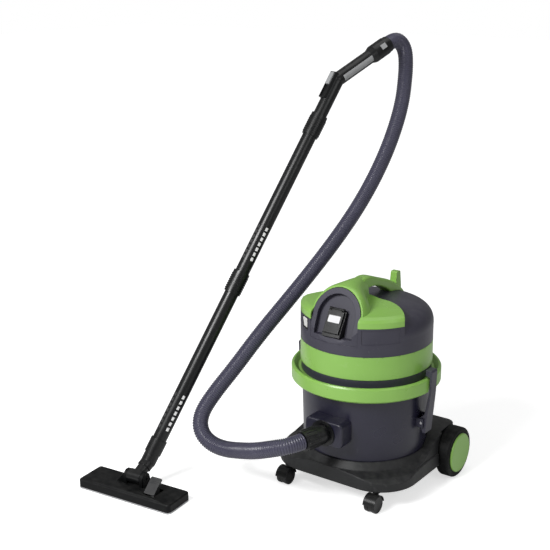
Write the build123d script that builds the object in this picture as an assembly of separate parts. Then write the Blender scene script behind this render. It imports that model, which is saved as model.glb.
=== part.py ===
from build123d import *
import math
import os

# Canister wet-and-dry vacuum cleaner with hose, two-piece wand and floor nozzle.
# Millimetres. Origin on the floor under the tank's axis, +Z up, hose inlet towards -Y.

# ---- driving dimensions: machine -------------------------------------------------
tank_top_r = 158.0
tank_foot_r = 153.0
tank_wall = 3.0
tank_foot_z = 72.0
tank_lip_z = 270.0

seal_h = 6.0
plate_h = 8.0
band_r = 159.5
band_top_z = 312.5
ring_r = 161.8
ring_top_z = 369.2
cover_r = 161.6
cover_wall = 3.0
cover_shoulder_z = 405.0
cover_edge_r = 133.0
cover_edge_z = 452.0
cover_top_z = 464.0

rim_r = 184.0
rim_foot_z = 263.0
rim_top_z = 300.0
rim_gutter_z = 290.0
rim_inner_r = 163.0
rim_notch_half = 16.0
rim_notch_r = 174.0

arch_half = 65.0
arch_foot_z = 395.0
arch_spring_z = 452.0
arch_top_z = arch_spring_z + arch_half
arch_foot_y = -161.3
arch_peak_y = -113.0
arch_depth = 22.0
arch_frame = 13.0
arch_recess = 14.0
arch_lean = (arch_peak_y - arch_foot_y) / (arch_top_z - arch_foot_z)

wing_foot_z = 438.4
wing_shoulder_z = 452.0
wing_rise_z = 478.0
bar_half = 16.0
shell_wall = 3.5
# Half widths and heights of the hood's sections, from the arch back to the carrying bar.
hood_front = [(69.5, 436), (69.5, 454), (64, 480), (45, 505), (24, 517.5)]
hood_second = [(78, 436), (68, 458), (55, 484), (40, 507), (20, 521.5)]
hood_third = [(62, 436), (45, 458), (33, 484), (24, 508), (13, 522.5)]
hood_last = [(42, 436), (27, 458), (18, 484), (15, 506), (8, 519.5)]
crown_z = 522.0
hook_top_z = 500.0
hook_half = 9.0

boss_half = 52.0
boss_z = 178.0
boss_h = 62.0
boss_y = -190.0
fitting_r = 30.0
cuff_r = 24.0
spigot_r = 22.0
duct_r = 17.5

# ---- driving dimensions: outlet, switch and cable gland --------------------------------
socket_half = 24.0
socket_top = (-129.0, 466.0)
socket_foot = (-163.0, 411.0)
socket_t = 26.0
flap_t = 3.5
flap_l = 54.0
flap_half = 21.0
flap_pin_r = 1.5
well_r = 20.0
well_d = 17.0
contact_x = 9.5
contact_r = 2.4
switch_angle = -33.5
switch_z = 421.0
switch_half = 12.0
switch_l = 24.0
switch_r = cover_r - 5.0
rocker_pin_r = 1.5
rocker_tilt = 7.0
gland_z = 395.0
gland_r = 9.0

# ---- driving dimensions: trolley and wheels ------------------------------------------
trolley_foot_z = 50.0
trolley_half = 186.0
trolley_front_y = -174.0
trolley_rear_y = 172.0
trolley_corner_r = 100.0
trolley_rear_r = 40.0
trolley_rim_r = 171.0
trolley_rim_z = 86.0
trolley_crest_z = 102.0
trolley_deck_z = 124.0
trolley_wall = 4.0
wheel_r = 63.7
wheel_y = 116.0
wheel_face_x = 210.0
tyre_w = 34.0
hub_r = 50.0
cap_r = 49.3
cap_t = 4.5
axle_r = 6.0
sleeve_r = 60.0
sleeve_inner_x = 96.0
caster_x = 126.6
caster_y = -165.7
caster_trail = 14.0
caster_wheel_r = 21.0
caster_wheel_w = 11.0
caster_web = 7.0
caster_stem_r = 5.0
caster_stem_l = 16.0
caster_axle_r = 3.0
caster_pod_r = 11.0

# ---- driving dimensions: latches -------------------------------------------------------
latch_x = 168.0
latch_z = 184.0
latch_half = 16.0
latch_tip_half = 9.0
latch_pin_r = 3.0
latch_ear = 5.0

# ---- driving dimensions: suction unit ----------------------------------------------------
motor_r = 58.0
motor_z = tank_lip_z + seal_h + plate_h
motor_h = 96.0
housing_r = 72.0
housing_wall = 3.0
fan_r = 50.0
shaft_r = 4.0
cage_r = 58.0
cage_foot_z = 184.0
filter_r = 86.0
float_r = 24.0
screw_circle = 140.0

# ---- driving dimensions: wand, grip and hose ---------------------------------------------
wand_foot = Vector(-387.9, -360.1, 92.1)
wand_dir = Vector(0.1771, 0.5162, 0.8380).normalized()
tube_r = 18.0
tube_wall = 1.5
tube_len = 475.0
tube_cuff_r = 22.5
tube_cuff_l = 58.0
tube_overlap = 38.0
collar_l = 30.0
neck_r = 19.0
neck_bore_r = 15.0
grip_stem_l = 138.0
grip_rise = 26.0
grip_r = 18.0
stub_r = 17.5
grip_l = 128.0
grip_head_r = 23.0
grip_head_l = 44.0
hose_r = 20.0
hose_wall = 2.5
grip_cuff_l = 10.0
cuff_neck_r = 20.6
cuff_neck_l = 8.0
housing_l = 72.0
housing_back = 25.0
slide_l = 32.0
button_w = 13.0
button_l = 16.0
button_turn = 28.0
cuff_yaw = 20.0
cuff_drop = 4.0
cuff_l = 50.0

# ---- driving dimensions: floor nozzle ----------------------------------------------------
nozzle_at = Vector(-396.0, -430.0, 0.0)
nozzle_yaw = 5.4
nozzle_l = 277.0
nozzle_d = 86.0
nozzle_h = 24.0
nozzle_wall = 3.0
nozzle_up = 35.0
nozzle_down = 30.0
nozzle_rise = 3.2
sole_t = 4.0
mouth_l = 210.0
mouth_d = 14.0
pivot_x = 2.0
pivot_y = 12.0
pivot_z = 42.0
barrel_r = 17.0
barrel_half = 19.0
cheek_t = 9.0
fork_pin_r = 3.0
brush_d = 6.0
brush_y = 24.0
pedal_x = 64.5
pedal_y = -2.0
pedal_half = 15.5
pedal_l = 46.0
pedal_pin_z = 19.0
pedal_pin_r = 2.0
pedal_tilt = 40.0

# ---- clearances ----------------------------------------------------------------------------
fit = 0.05      # running fit on a shaft, on the radius
gap = 0.3       # between neighbours that only sit by each other

up = Vector(0, 0, 1)


# ---- shared shapes ----------------------------------------------------------------------------
def rod(start, end, radius):
    """Round bar from one point to another."""
    start = Vector(*start)
    run = Vector(*end) - start
    place = Plane(origin=start, z_dir=run)
    return place * extrude(Circle(radius), run.length)


def pipe(start, end, radius, bore):
    """Round tube from one point to another."""
    run = (Vector(*end) - Vector(*start)).normalized()
    return rod(start, end, radius) - rod(Vector(*start) - run, Vector(*end) + run, bore)


def block(x0, x1, y0, y1, z0, z1):
    """Box between two corners."""
    size = Box(x1 - x0, y1 - y0, z1 - z0)
    return Pos((x0 + x1) / 2, (y0 + y1) / 2, (z0 + z1) / 2) * size


def turned(points):
    """Body turned about the Z axis from (radius, height) points."""
    face = make_face(Plane.XZ * Polyline(*points, close=True))
    return revolve(face, Axis.Z, 360)


def side_prism(points, half):
    """Prism of a (y, z) outline, both sides of the middle plane."""
    face = make_face(Plane.YZ * Polyline(*points, close=True))
    return extrude(face, half, both=True)


def ring(outer, inner, z0, z1):
    """Flat ring about the Z axis."""
    return turned([(inner, z0), (outer, z0), (outer, z1), (inner, z1)])


def mirrored(shape):
    """The same shape on the other side of the middle plane."""
    return mirror(shape, Plane.YZ)


def frame_at(origin, x_dir, z_dir):
    """Working plane from a point, a sideways direction and an outward direction."""
    return Plane(origin=origin, x_dir=x_dir, z_dir=z_dir)


# ---- head cover and handle ---------------------------------------------------------------------
def dome(inset, foot_z):
    """Solid of the head cover's outside, drawn in by an inset."""
    r = cover_r - inset
    edge_r = cover_edge_r - inset / 2
    edge_z = cover_edge_z - inset
    top_z = cover_top_z - inset
    mid = ((r + edge_r) / 2 + 7, (cover_shoulder_z + edge_z) / 2 + 8)
    crown = (edge_r / 2, edge_z + 0.78 * (top_z - edge_z))
    outline = Line((0, foot_z), (r, foot_z))
    outline += Line((r, foot_z), (r, cover_shoulder_z))
    outline += Spline((r, cover_shoulder_z), mid, (edge_r, edge_z))
    outline += Spline((edge_r, edge_z), crown, (0, top_z), tangents=[(-1, 0.3), (-1, 0)])
    outline += Line((0, top_z), (0, foot_z))
    return revolve(make_face(Plane.XZ * outline), Axis.Z, 360)


def arch_outline(grow):
    """Outline of the front arch, grown or shrunk evenly."""
    half = arch_half + grow
    foot = arch_foot_z - grow
    outline = Line((-half, foot), (half, foot))
    outline += Line((half, foot), (half, arch_spring_z))
    outline += ThreePointArc((half, arch_spring_z), (0, arch_spring_z + half), (-half, arch_spring_z))
    outline += Line((-half, arch_spring_z), (-half, foot))
    return make_face(Plane.XZ * outline)


def arch_slab(grow, front, back):
    """Arch between two leaning faces, given as depths behind the front one."""
    low = arch_foot_z - 20
    high = arch_top_z + 20
    low_y = arch_foot_y + arch_lean * (low - arch_foot_z)
    high_y = arch_foot_y + arch_lean * (high - arch_foot_z)
    slab = side_prism(
        [(low_y + front, low), (high_y + front, high), (high_y + back, high), (low_y + back, low)],
        arch_half + grow + 5,
    )
    return extrude(arch_outline(grow), 260, both=True) & slab


def make_arch_panel():
    """Dark front panel: an arch frame around a sunk face."""
    panel = arch_slab(0, 0, arch_depth)
    panel &= Pos(0, 0, arch_foot_z + 70) * Cylinder(cover_r - gap, 260)
    panel -= arch_slab(-arch_frame, -30, arch_recess)
    return panel - socket_room()


def make_head_cover():
    """Dark round cover with upright shoulders under the wings and the arch's opening."""
    cover = dome(0, ring_top_z) - dome(cover_wall, ring_top_z - 1)
    shoulder = ring(cover_r, cover_edge_r - 6, 396, wing_foot_z - gap) & wedge(20, 64)
    shoulder -= dome(cover_wall, 300)
    cover += shoulder + mirrored(shoulder)
    cover -= arch_slab(gap, -30, arch_depth + gap)
    cover -= socket_room()
    band = ring(cover_r + 2, cover_r - 1.2, 400, wing_foot_z - 4) & wedge(27, 60)
    cover -= band
    cover -= switch_pocket()
    return cover - rod((0, cover_r - 20, gland_z), (0, cover_r + 20, gland_z), gland_r + fit)


def wedge(low, high):
    """Prism between two angles from the front, on the +X side."""
    reach = 260
    a, b = math.radians(low), math.radians(high)
    face = make_face(
        Polyline(
            (0, 0),
            (reach * math.sin(a), -reach * math.cos(a)),
            (reach * math.sin(b), -reach * math.cos(b)),
            close=True,
        )
    )
    return Pos(0, 0, 300) * extrude(face, 300)


def wing(inset):
    """Skirt between the arch and the cover's side, drawn in by an inset."""
    r = cover_r - gap - inset
    body = turned(
        [
            (0, wing_foot_z - 2 * inset),
            (r, wing_foot_z - 2 * inset),
            (r, wing_shoulder_z - inset / 2),
            (r - 4, wing_shoulder_z + 6.5 - inset),
            (r - 13, wing_shoulder_z + 11 - inset),
            (110, wing_rise_z - 8 - inset),
            (70, wing_rise_z - 4 - inset),
            (0, wing_rise_z - inset),
        ]
    )
    edge = Spline(
        (0, -10 - inset),
        (20, -11 - inset),
        (50, -19 - inset),
        (72, -19 - inset),
        (100, -28 - inset),
        (124, -45 - inset),
        (149 - inset, -78),
    )
    plan = edge + Polyline((149 - inset, -78), (149 - inset, -190), (0, -190), (0, -10 - inset))
    return body & Pos(0, 0, 400) * extrude(make_face(plan), 120)


def hood_section(half, crown, inset, y_foot, lean):
    """One closed section of the hood, given as (half width, height) points up to its crown."""

    def at(x, z):
        return (x, y_foot + lean * (z - wing_foot_z), z)

    side = [(x - inset, z - inset * (z - half[0][1]) / (crown - half[0][1])) for x, z in half]
    over = [at(x, z) for x, z in side] + [at(0, crown - inset)] + [at(-x, z) for x, z in reversed(side)]
    return make_face(Spline(*over) + Line(over[-1], over[0]))


def hood(inset, steps=4):
    """Hood that narrows from the arch back to the carrying bar, drawn in by an inset."""
    front_y = arch_foot_y + arch_lean * (wing_foot_z - arch_foot_z) + 2
    sections = [
        (hood_front, arch_top_z + 4, front_y, arch_lean),
        (hood_second, crown_z + 4, -86, 0),
        (hood_third, crown_z + 5, -54, 0),
        (hood_last, crown_z, -22, 0),
    ]
    faces = [hood_section(half, crown, inset, y, lean) for half, crown, y, lean in sections[:steps]]
    return loft(faces)


def handle_bar():
    """Carrying bar from the hood down to its rear foot, with the cable hook."""
    top = Spline((-40, crown_z + 1), (-5, crown_z), (28, 511), (79, 493), (114, 476), (152, 450))
    under = Spline((98, 448), (63, 474), (29, 488), (-16, 497))
    outline = top + Line((152, 450), (152, 436)) + Line((152, 436), (98, 436))
    outline += Line((98, 436), (98, 448)) + under + Line((-16, 497), (-40, 497))
    outline += Line((-40, 497), (-40, crown_z + 1))
    bar = extrude(make_face(Plane.YZ * outline), bar_half, both=True)
    long_edges = bar.edges().filter_by(GeomType.BSPLINE)
    bar = fillet(long_edges.filter_by(lambda e: e.center().Z > crown_z - 25), 8)
    bar = fillet(bar.edges().filter_by(lambda e: under_edge(e)), 4)
    hook = side_prism(
        [(112, 440), (150, 440), (147, 470), (143, hook_top_z), (127, hook_top_z), (122, 470)], hook_half
    )
    hook = fillet(hook.edges().filter_by(Axis.X).sort_by(Axis.Z)[-2:], 3.5)
    return bar + hook


def under_edge(edge):
    """True for the two long edges along the underside of the bar."""
    middle = edge.center()
    return edge.length > 100 and abs(abs(middle.X) - bar_half) < 0.5 and middle.Z < crown_z - 25


def make_handle_shell():
    """Green top shell: hood, two wings, carrying bar and hook in one moulding."""
    skirt = wing(0)
    shell = skirt + mirrored(skirt) + hood(0) + handle_bar()
    inner = wing(shell_wall)
    shell -= inner + mirrored(inner)
    shell -= hood(shell_wall, 3)
    shell -= dome(-gap, 300)
    shell -= Pos(0, 0, wing_foot_z - 100) * Cylinder(260, 200)
    shell -= arch_slab(gap, -60, arch_depth + gap)
    shell -= socket_room()
    shell &= Pos(0, 0, 450) * Cylinder(cover_r - gap, 200)
    return max(shell.solids(), key=lambda s: s.volume)


# ---- socket, flap and switch ------------------------------------------------------------------

face_run = Vector(0, socket_foot[0] - socket_top[0], socket_foot[1] - socket_top[1])
face_down = face_run.normalized()
face_out = Vector(0, face_down.Z, -face_down.Y)
socket_head = Vector(0, *socket_top)


def face_plane(down, out):
    """Plane on the socket's leaning front, a way down it and out from it."""
    return frame_at(socket_head + face_down * down + face_out * out, Vector(1, 0, 0), face_out)


def make_socket_box():
    """Box that carries the outlet, with a round well and a hinge lug at its top."""
    body = face_plane(face_run.length / 2, -socket_t) * extrude(
        Rectangle(2 * socket_half, face_run.length), socket_t
    )
    well = face_plane(face_run.length / 2, -well_d - 2) * extrude(Circle(well_r), well_d + 5)
    lug_at = hinge_point()
    lugs = Part()
    for side in (-1, 1):
        x = side * (flap_half - 4)
        lugs += rod((x - 3, lug_at.Y, lug_at.Z), (x + 3, lug_at.Y, lug_at.Z), 3.6)
        lugs += face_plane(-0.4, 0.5) * Pos(x, 0, -2) * Box(6, 7, 5)
    body = body + lugs - well
    body -= rod((-40, lug_at.Y, lug_at.Z), (40, lug_at.Y, lug_at.Z), flap_pin_r + fit)
    return body


def socket_room():
    """Space that the socket box takes up in the panel and the shells behind it."""
    mid = face_plane(face_run.length / 2, -socket_t - gap)
    return mid * extrude(Rectangle(2 * (socket_half + gap), face_run.length + 2 * gap), socket_t + 40)


def hinge_point():
    """Axis of the socket flap's hinge."""
    return socket_head + face_down * (-2.0) + face_out * 4.0


def make_socket_insert():
    """Outlet insert in the well, with two contact holes."""
    insert = face_plane(face_run.length / 2, -well_d - 2) * (
        extrude(Circle(well_r - gap), well_d) - Pos(0, 0, 4) * extrude(Circle(well_r - 2), well_d)
    )
    for side in (-1, 1):
        hole = Pos(side * contact_x, 0, 0) * extrude(Circle(contact_r), 30)
        insert -= face_plane(face_run.length / 2, -well_d - 3) * hole
    return insert


def make_flap():
    """Flap over the outlet, with the knuckle and the pins it hinges on."""
    at = hinge_point()
    low = 3.0
    plate = face_plane(low + flap_l / 2, 4 - flap_t / 2) * extrude(Rectangle(2 * flap_half, flap_l), flap_t)
    plate = fillet(plate.edges().filter_by(Axis.X).sort_by(Axis.Z)[:2], 1.2)
    reach = flap_half - 8
    knuckle = rod((-reach, at.Y, at.Z), (reach, at.Y, at.Z), 3.2)
    knuckle += face_plane(1.5, 2.6) * extrude(Rectangle(2 * reach, 6), 3)
    notch = Part()
    for side in (-1, 1):
        x = side * (flap_half - 4)
        notch += rod((x - 3.6, at.Y, at.Z), (x + 3.6, at.Y, at.Z), 5.4)
    flap = plate + knuckle - notch
    return flap + rod((-flap_half + 1, at.Y, at.Z), (flap_half - 1, at.Y, at.Z), flap_pin_r)


def switch_plane(out):
    """Plane facing out at the switch, on its axis."""
    a = math.radians(switch_angle)
    out_dir = Vector(math.sin(a), -math.cos(a), 0)
    side = Vector(math.cos(a), math.sin(a), 0)
    return frame_at(out_dir * (switch_r + out) + up * switch_z, side, out_dir)


def switch_pocket():
    """Opening of the cover for the switch's bezel."""
    return switch_plane(-12) * extrude(Rectangle(2 * switch_half + 6 + gap, switch_l + 6 + gap), 30)


def make_switch_bezel():
    """Frame around the rocker with its backing case."""
    outer = switch_plane(-11) * extrude(Rectangle(2 * switch_half + 6, switch_l + 6), 16)
    hole = switch_plane(-8) * extrude(Rectangle(2 * switch_half + 1, switch_l + 3), 30)
    axle = switch_plane(-1) * (Rot(0, 90, 0) * Cylinder(rocker_pin_r, 2 * switch_half + 4))
    return outer - hole + axle


def make_rocker():
    """Rocker, tipped to its off side."""
    body = Box(2 * switch_half, switch_l, 8)
    body = fillet(body.edges().filter_by(Axis.X), 2)
    body = Rot(rocker_tilt, 0, 0) * Pos(0, 0, 1.5) * body
    return switch_plane(-1) * (body - Rot(0, 90, 0) * Cylinder(rocker_pin_r + fit, 60))


def make_cable_gland():
    """Gland at the back where the mains lead enters."""
    inner = cover_r - 12
    body = rod((0, inner, gland_z), (0, cover_r + 14, gland_z), gland_r)
    body += rod((0, cover_r + 1, gland_z), (0, cover_r + 5, gland_z), gland_r + 4)
    body += rod((0, inner, gland_z), (0, inner + 3, gland_z), gland_r + 3)
    return body - rod((0, inner - 1, gland_z), (0, cover_r + 20, gland_z), 4)


# ---- head rings, seal and suction unit ------------------------------------------------------------
def make_tank_seal():
    """Rubber seal between the tank's lip and the head."""
    return ring(tank_top_r, tank_top_r - 10, tank_lip_z, tank_lip_z + seal_h)


def make_motor_plate():
    """Plate that closes the tank and carries the suction unit."""
    z = tank_lip_z + seal_h
    plate = ring(band_r, cage_r - 20, z, z + plate_h)
    for k in range(6):
        a = math.radians(60 * k + 30)
        plate -= Pos(screw_circle * math.cos(a), screw_circle * math.sin(a), z) * Cylinder(2.1, 40)
    return plate


def make_head_screws():
    """Screws that hold the rings and the plate together."""
    z = tank_lip_z + seal_h
    screws = []
    for k in range(6):
        a = math.radians(60 * k + 30)
        at = Pos(screw_circle * math.cos(a), screw_circle * math.sin(a), z)
        screws.append(at * (Pos(0, 0, -1.5) * Cylinder(4, 3) + Pos(0, 0, 7) * Cylinder(2, 14)))
    return Compound(children=[s.solid() for s in screws])


def make_head_band():
    """Dark band between the bumper rim and the green ring."""
    z = tank_lip_z + seal_h + plate_h
    band = ring(band_r, band_r - 5, z, band_top_z)
    lugs = Part()
    for k in range(6):
        a = math.radians(60 * k + 30)
        at = Pos(screw_circle * math.cos(a), screw_circle * math.sin(a), z + 8)
        lugs += at * Cylinder(5, 16)
        lugs += Rot(0, 0, 60 * k + 30) * block(screw_circle + 2, band_r - 3, -2, 2, z, z + 16)
    for k in range(6):
        a = math.radians(60 * k + 30)
        lugs -= Pos(screw_circle * math.cos(a), screw_circle * math.sin(a), z) * Cylinder(2, 20)
    return band + lugs


def make_bumper_rim():
    """Green bumper with a gutter inside its lip, notched for the latches."""
    rim = turned(
        [
            (rim_inner_r, rim_foot_z + 10),
            (rim_inner_r + 4, rim_foot_z),
            (rim_r - 4, rim_foot_z),
            (rim_r, rim_foot_z + 4),
            (rim_r, rim_top_z - 4),
            (rim_r - 3, rim_top_z),
            (rim_r - 7, rim_top_z),
            (rim_inner_r + 4, rim_gutter_z),
            (band_r + gap, rim_gutter_z),
            (band_r + gap, rim_gutter_z - 10),
            (rim_inner_r, rim_gutter_z - 12),
        ]
    )
    for side in (-1, 1):
        x = side * (rim_notch_r + 20)
        rim -= Pos(x, 0, rim_foot_z + 20) * Box(40, 2 * rim_notch_half, 80)
    return rim


def make_head_ring():
    """Green ring between the dark band and the cover, with vent ticks along its top."""
    wall = 4.0
    body = turned(
        [
            (ring_r - wall, band_top_z),
            (ring_r, band_top_z),
            (ring_r, ring_top_z - gap),
            (ring_r - wall, ring_top_z - gap),
        ]
    )
    tick = Part()
    for k in range(24):
        tick += Rot(0, 0, 15 * k) * Pos(ring_r, 0, ring_top_z) * Box(2.4, 5, 4)
    return body + ring(ring_r - wall, ring_r - 12, band_top_z, band_top_z + 4) - tick


def make_motor_housing():
    """Sound cowl round the motor, standing on the plate."""
    top = motor_z + motor_h + 12
    cowl = ring(housing_r, housing_r - housing_wall, motor_z, top)
    cowl += ring(housing_r, motor_r - 20, top, top + housing_wall)
    return cowl


def make_motor():
    """Motor can, hollow where the fan turns."""
    can = Pos(0, 0, motor_z + motor_h / 2) * Cylinder(motor_r, motor_h)
    can -= Pos(0, 0, motor_z + 13) * Cylinder(fan_r + 3, 20)
    can -= Pos(0, 0, motor_z + motor_h / 2) * Cylinder(shaft_r + fit, motor_h + 4)
    can -= Pos(0, 0, motor_z) * Cylinder(30, 20)
    return can


def make_fan():
    """Fan disc with curved blades."""
    z = motor_z + 5
    fan = Pos(0, 0, z + 1) * Cylinder(fan_r, 2)
    fan += Pos(0, 0, z + 8) * Cylinder(9, 16)
    for k in range(9):
        blade = Rot(0, 0, 40 * k) * Pos(29, 0, z + 8) * (Rot(0, 0, 25) * Box(36, 2, 14))
        fan += blade
    return fan - Pos(0, 0, z + 8) * Cylinder(shaft_r, 40)


def make_motor_shaft():
    """Steel shaft of the motor."""
    return Pos(0, 0, motor_z + motor_h / 2 + 2) * Cylinder(shaft_r, motor_h - 2)


def make_filter_cage():
    """Cage under the plate that guides the float."""
    top = tank_lip_z + seal_h
    cage = ring(cage_r, cage_r - 3, cage_foot_z, top)
    cage += ring(cage_r, float_r + gap + 1, cage_foot_z, cage_foot_z + 3)
    for k in range(8):
        window = Rot(0, 0, 45 * k) * Pos(cage_r, 0, cage_foot_z + 45) * Box(20, 26, 56)
        cage -= window
    guide = ring(float_r + gap + 3, float_r + gap, cage_foot_z + 3, cage_foot_z + 24)
    guide += ring(float_r + gap + 3, float_r - 3, cage_foot_z, cage_foot_z + 3)
    return cage + guide


def make_filter():
    """Cartridge filter round the cage."""
    return ring(filter_r, cage_r + 2, cage_foot_z + 2, tank_lip_z + seal_h)


def make_filter_clamp():
    """Disc and knob that press the filter up."""
    clamp = ring(filter_r + 3, cage_r + gap, cage_foot_z - 6, cage_foot_z + 2)
    clamp += Pos(0, 0, cage_foot_z - 3) * Cylinder(cage_r + gap, 6)
    return clamp + Pos(0, 0, cage_foot_z - 15) * Cylinder(16, 18)


def make_float():
    """Float that shuts the suction when the tank is full."""
    z = cage_foot_z + 3
    cup = Pos(0, 0, z + 16) * Cylinder(float_r - 0.2, 32)
    cup -= Pos(0, 0, z + 14) * Cylinder(float_r - 3, 32)
    return fillet(cup.edges().sort_by(Axis.Z)[-1], 4)


# ---- tank and latches ---------------------------------------------------------------------------
def tank_outside():
    """Solid of the tank's outside."""
    return turned(
        [
            (0, tank_foot_z),
            (tank_foot_r - 4, tank_foot_z),
            (tank_foot_r, tank_foot_z + 4),
            (tank_top_r, tank_lip_z),
            (0, tank_lip_z),
        ]
    )


def make_tank():
    """Round tank with the hole of its inlet."""
    hollow = turned(
        [
            (0, tank_foot_z + tank_wall),
            (tank_foot_r - tank_wall, tank_foot_z + 4),
            (tank_top_r - tank_wall, tank_lip_z + 0.01),
            (0, tank_lip_z + 0.01),
        ]
    )
    return tank_outside() - hollow - rod((0, boss_y, boss_z), (0, -100, boss_z), fitting_r + gap)


def inlet_boss():
    """Box-shaped boss that carries the inlet on the tank's front."""
    boss = Pos(0, (boss_y - 120) / 2, boss_z) * Box(2 * boss_half, -120 - boss_y, boss_h)
    boss = fillet(boss.edges().filter_by(Axis.Y), 12)
    boss = fillet(boss.faces().sort_by(Axis.Y)[0].edges(), 5)
    boss -= tank_outside()
    return (boss - rod((0, boss_y - 5, boss_z), (0, -100, boss_z), fitting_r + gap)).solid()


def latch_ears():
    """Pairs of ears on the tank's sides that hold the latch pins."""
    ears = []
    for side in (-1, 1):
        for end in (-1, 1):
            y = end * (latch_half + gap + latch_ear / 2)
            ear = Pos(side * (latch_x - 7), y, latch_z) * Box(26, latch_ear, 22) - tank_outside()
            ear -= rod((side * latch_x, -40, latch_z), (side * latch_x, 40, latch_z), latch_pin_r)
            ears.append(max(ear.solids(), key=lambda s: s.volume))
    return ears


def make_tank_bosses():
    """What stands out from the tank's wall: the inlet's boss and the ears of the latches."""
    return Compound(children=[inlet_boss(), *latch_ears()])


def make_inlet_fitting():
    """Inlet sleeve pressed into the boss."""
    body = rod((0, boss_y - 4, boss_z), (0, -140, boss_z), fitting_r)
    body += rod((0, boss_y - 4, boss_z), (0, boss_y - 0.1, boss_z), fitting_r + 2)
    return body - rod((0, boss_y - 10, boss_z), (0, -130, boss_z), spigot_r + fit)


def make_deflector():
    """Elbow inside the tank that turns the air down."""
    y = -129.0
    body = Pos(0, y, boss_z - 6) * Box(60, 22, 72)
    body = fillet(body.edges().filter_by(Axis.Z), 6)
    hollow = Pos(0, y - 3, boss_z - 9) * Box(53, 22, 72)
    return body - hollow


def make_latch():
    """Latch lever, drawn on the +X side, tapering towards its hooked top."""
    points = [
        (171, 158),
        (178, 158),
        (181, 200),
        (190, 262),
        (192, 316),
        (189, 320),
        (175, 320),
        (174.6, 306),
        (186.3, 302),
        (184.8, 264),
        (174, 205),
        (163, 196),
        (163, 176),
    ]
    face = make_face(Plane.XZ * Polyline(*points, close=True))
    lever = extrude(face, latch_half, both=True)
    out = latch_half + 9
    for side in (-1, 1):
        edge = [
            (side * latch_half, 205),
            (side * out, 205),
            (side * out, 330),
            (side * latch_tip_half, 330),
            (side * latch_tip_half, 262),
        ]
        lever -= extrude(make_face(Plane.YZ * Polyline(*edge, close=True)), 260)
    return lever - rod((latch_x, -40, latch_z), (latch_x, 40, latch_z), latch_pin_r + fit)


def make_latch_pins():
    """Pins of the two latches."""
    reach = latch_half + gap + latch_ear
    pins = []
    for x in (-latch_x, latch_x):
        pins.append(rod((x, -reach, latch_z), (x, reach, latch_z), latch_pin_r).solid())
    return Compound(children=pins)


# ---- trolley, wheels and casters ------------------------------------------------------------------
def trolley_plan(inset):
    """Outline of the trolley seen from above, with large round corners in front."""
    half = trolley_half - inset
    front = trolley_front_y + inset
    rear = trolley_rear_y - inset
    face = make_face(Polyline((-half, front), (half, front), (half, rear), (-half, rear), close=True))
    corners = face.vertices().sort_by(Axis.Y)
    face = fillet(corners[:2], trolley_corner_r - inset)
    return fillet(face.vertices().sort_by(Axis.Y)[-2:], trolley_rear_r - inset)


def trolley_body(inset):
    """Outside of the trolley, drawn in by an inset: a skirted dish that sweeps up beside the wheels."""
    foot = trolley_foot_z - inset
    flare = trolley_half + 36 - inset
    crest_r = tank_foot_r + gap + 3.5
    skirt = Pos(0, 0, foot) * extrude(trolley_plan(inset), 60, taper=4)
    skirt &= turned(
        [
            (0, foot),
            (flare, foot),
            (flare - 8, trolley_foot_z + 16 - inset),
            (trolley_rim_r + 25 - inset, trolley_rim_z - 8 - inset),
            (trolley_rim_r - inset, trolley_rim_z - inset),
            (crest_r, trolley_crest_z - inset),
            (0, trolley_crest_z - inset),
        ]
    )
    top = Spline(
        (-110, 60 - inset),
        (-60, trolley_rim_z - 6 - inset),
        (-5, trolley_rim_z + 8 - inset),
        (50, trolley_deck_z - 8 - inset),
        (100, trolley_deck_z - inset),
        (180, trolley_deck_z - inset),
    )
    side = top + Polyline((180, trolley_deck_z - inset), (180, foot), (-110, foot), (-110, 60 - inset))
    sweep_up = extrude(make_face(Plane.YZ * side), 220, both=True)
    sweep_up &= Pos(0, 0, foot) * extrude(trolley_plan(inset), 90, taper=9)
    return skirt + sweep_up


def make_trolley():
    """Black trolley: a dish for the tank, two wheel sleeves and two caster pods."""
    sleeve_end = wheel_face_x - cap_t - tyre_w - 3
    sleeve = rod((sleeve_inner_x, wheel_y, wheel_r), (sleeve_end, wheel_y, wheel_r), sleeve_r)
    well = rod((sleeve_end + 0.3, wheel_y, wheel_r), (260, wheel_y, wheel_r), wheel_r + 5)
    body = trolley_body(0) + sleeve + mirrored(sleeve) - well - mirrored(well)
    body -= turned(
        [
            (0, tank_foot_z),
            (tank_foot_r + gap, tank_foot_z),
            (tank_top_r + gap, tank_lip_z),
            (0, tank_lip_z),
        ]
    )
    body -= Pos(0, 0, trolley_foot_z - 50) * Box(600, 600, 100)
    body -= trolley_room(sleeve, sleeve_end)
    for side in (-1, 1):
        stem = (side * caster_x, caster_y + caster_trail)
        body -= rod((*stem, 0), (*stem, trolley_foot_z + caster_stem_l + 0.5), caster_stem_r + fit)
    body -= rod((-260, wheel_y, wheel_r), (260, wheel_y, wheel_r), axle_r)
    return max(body.solids(), key=lambda s: s.volume)


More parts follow.
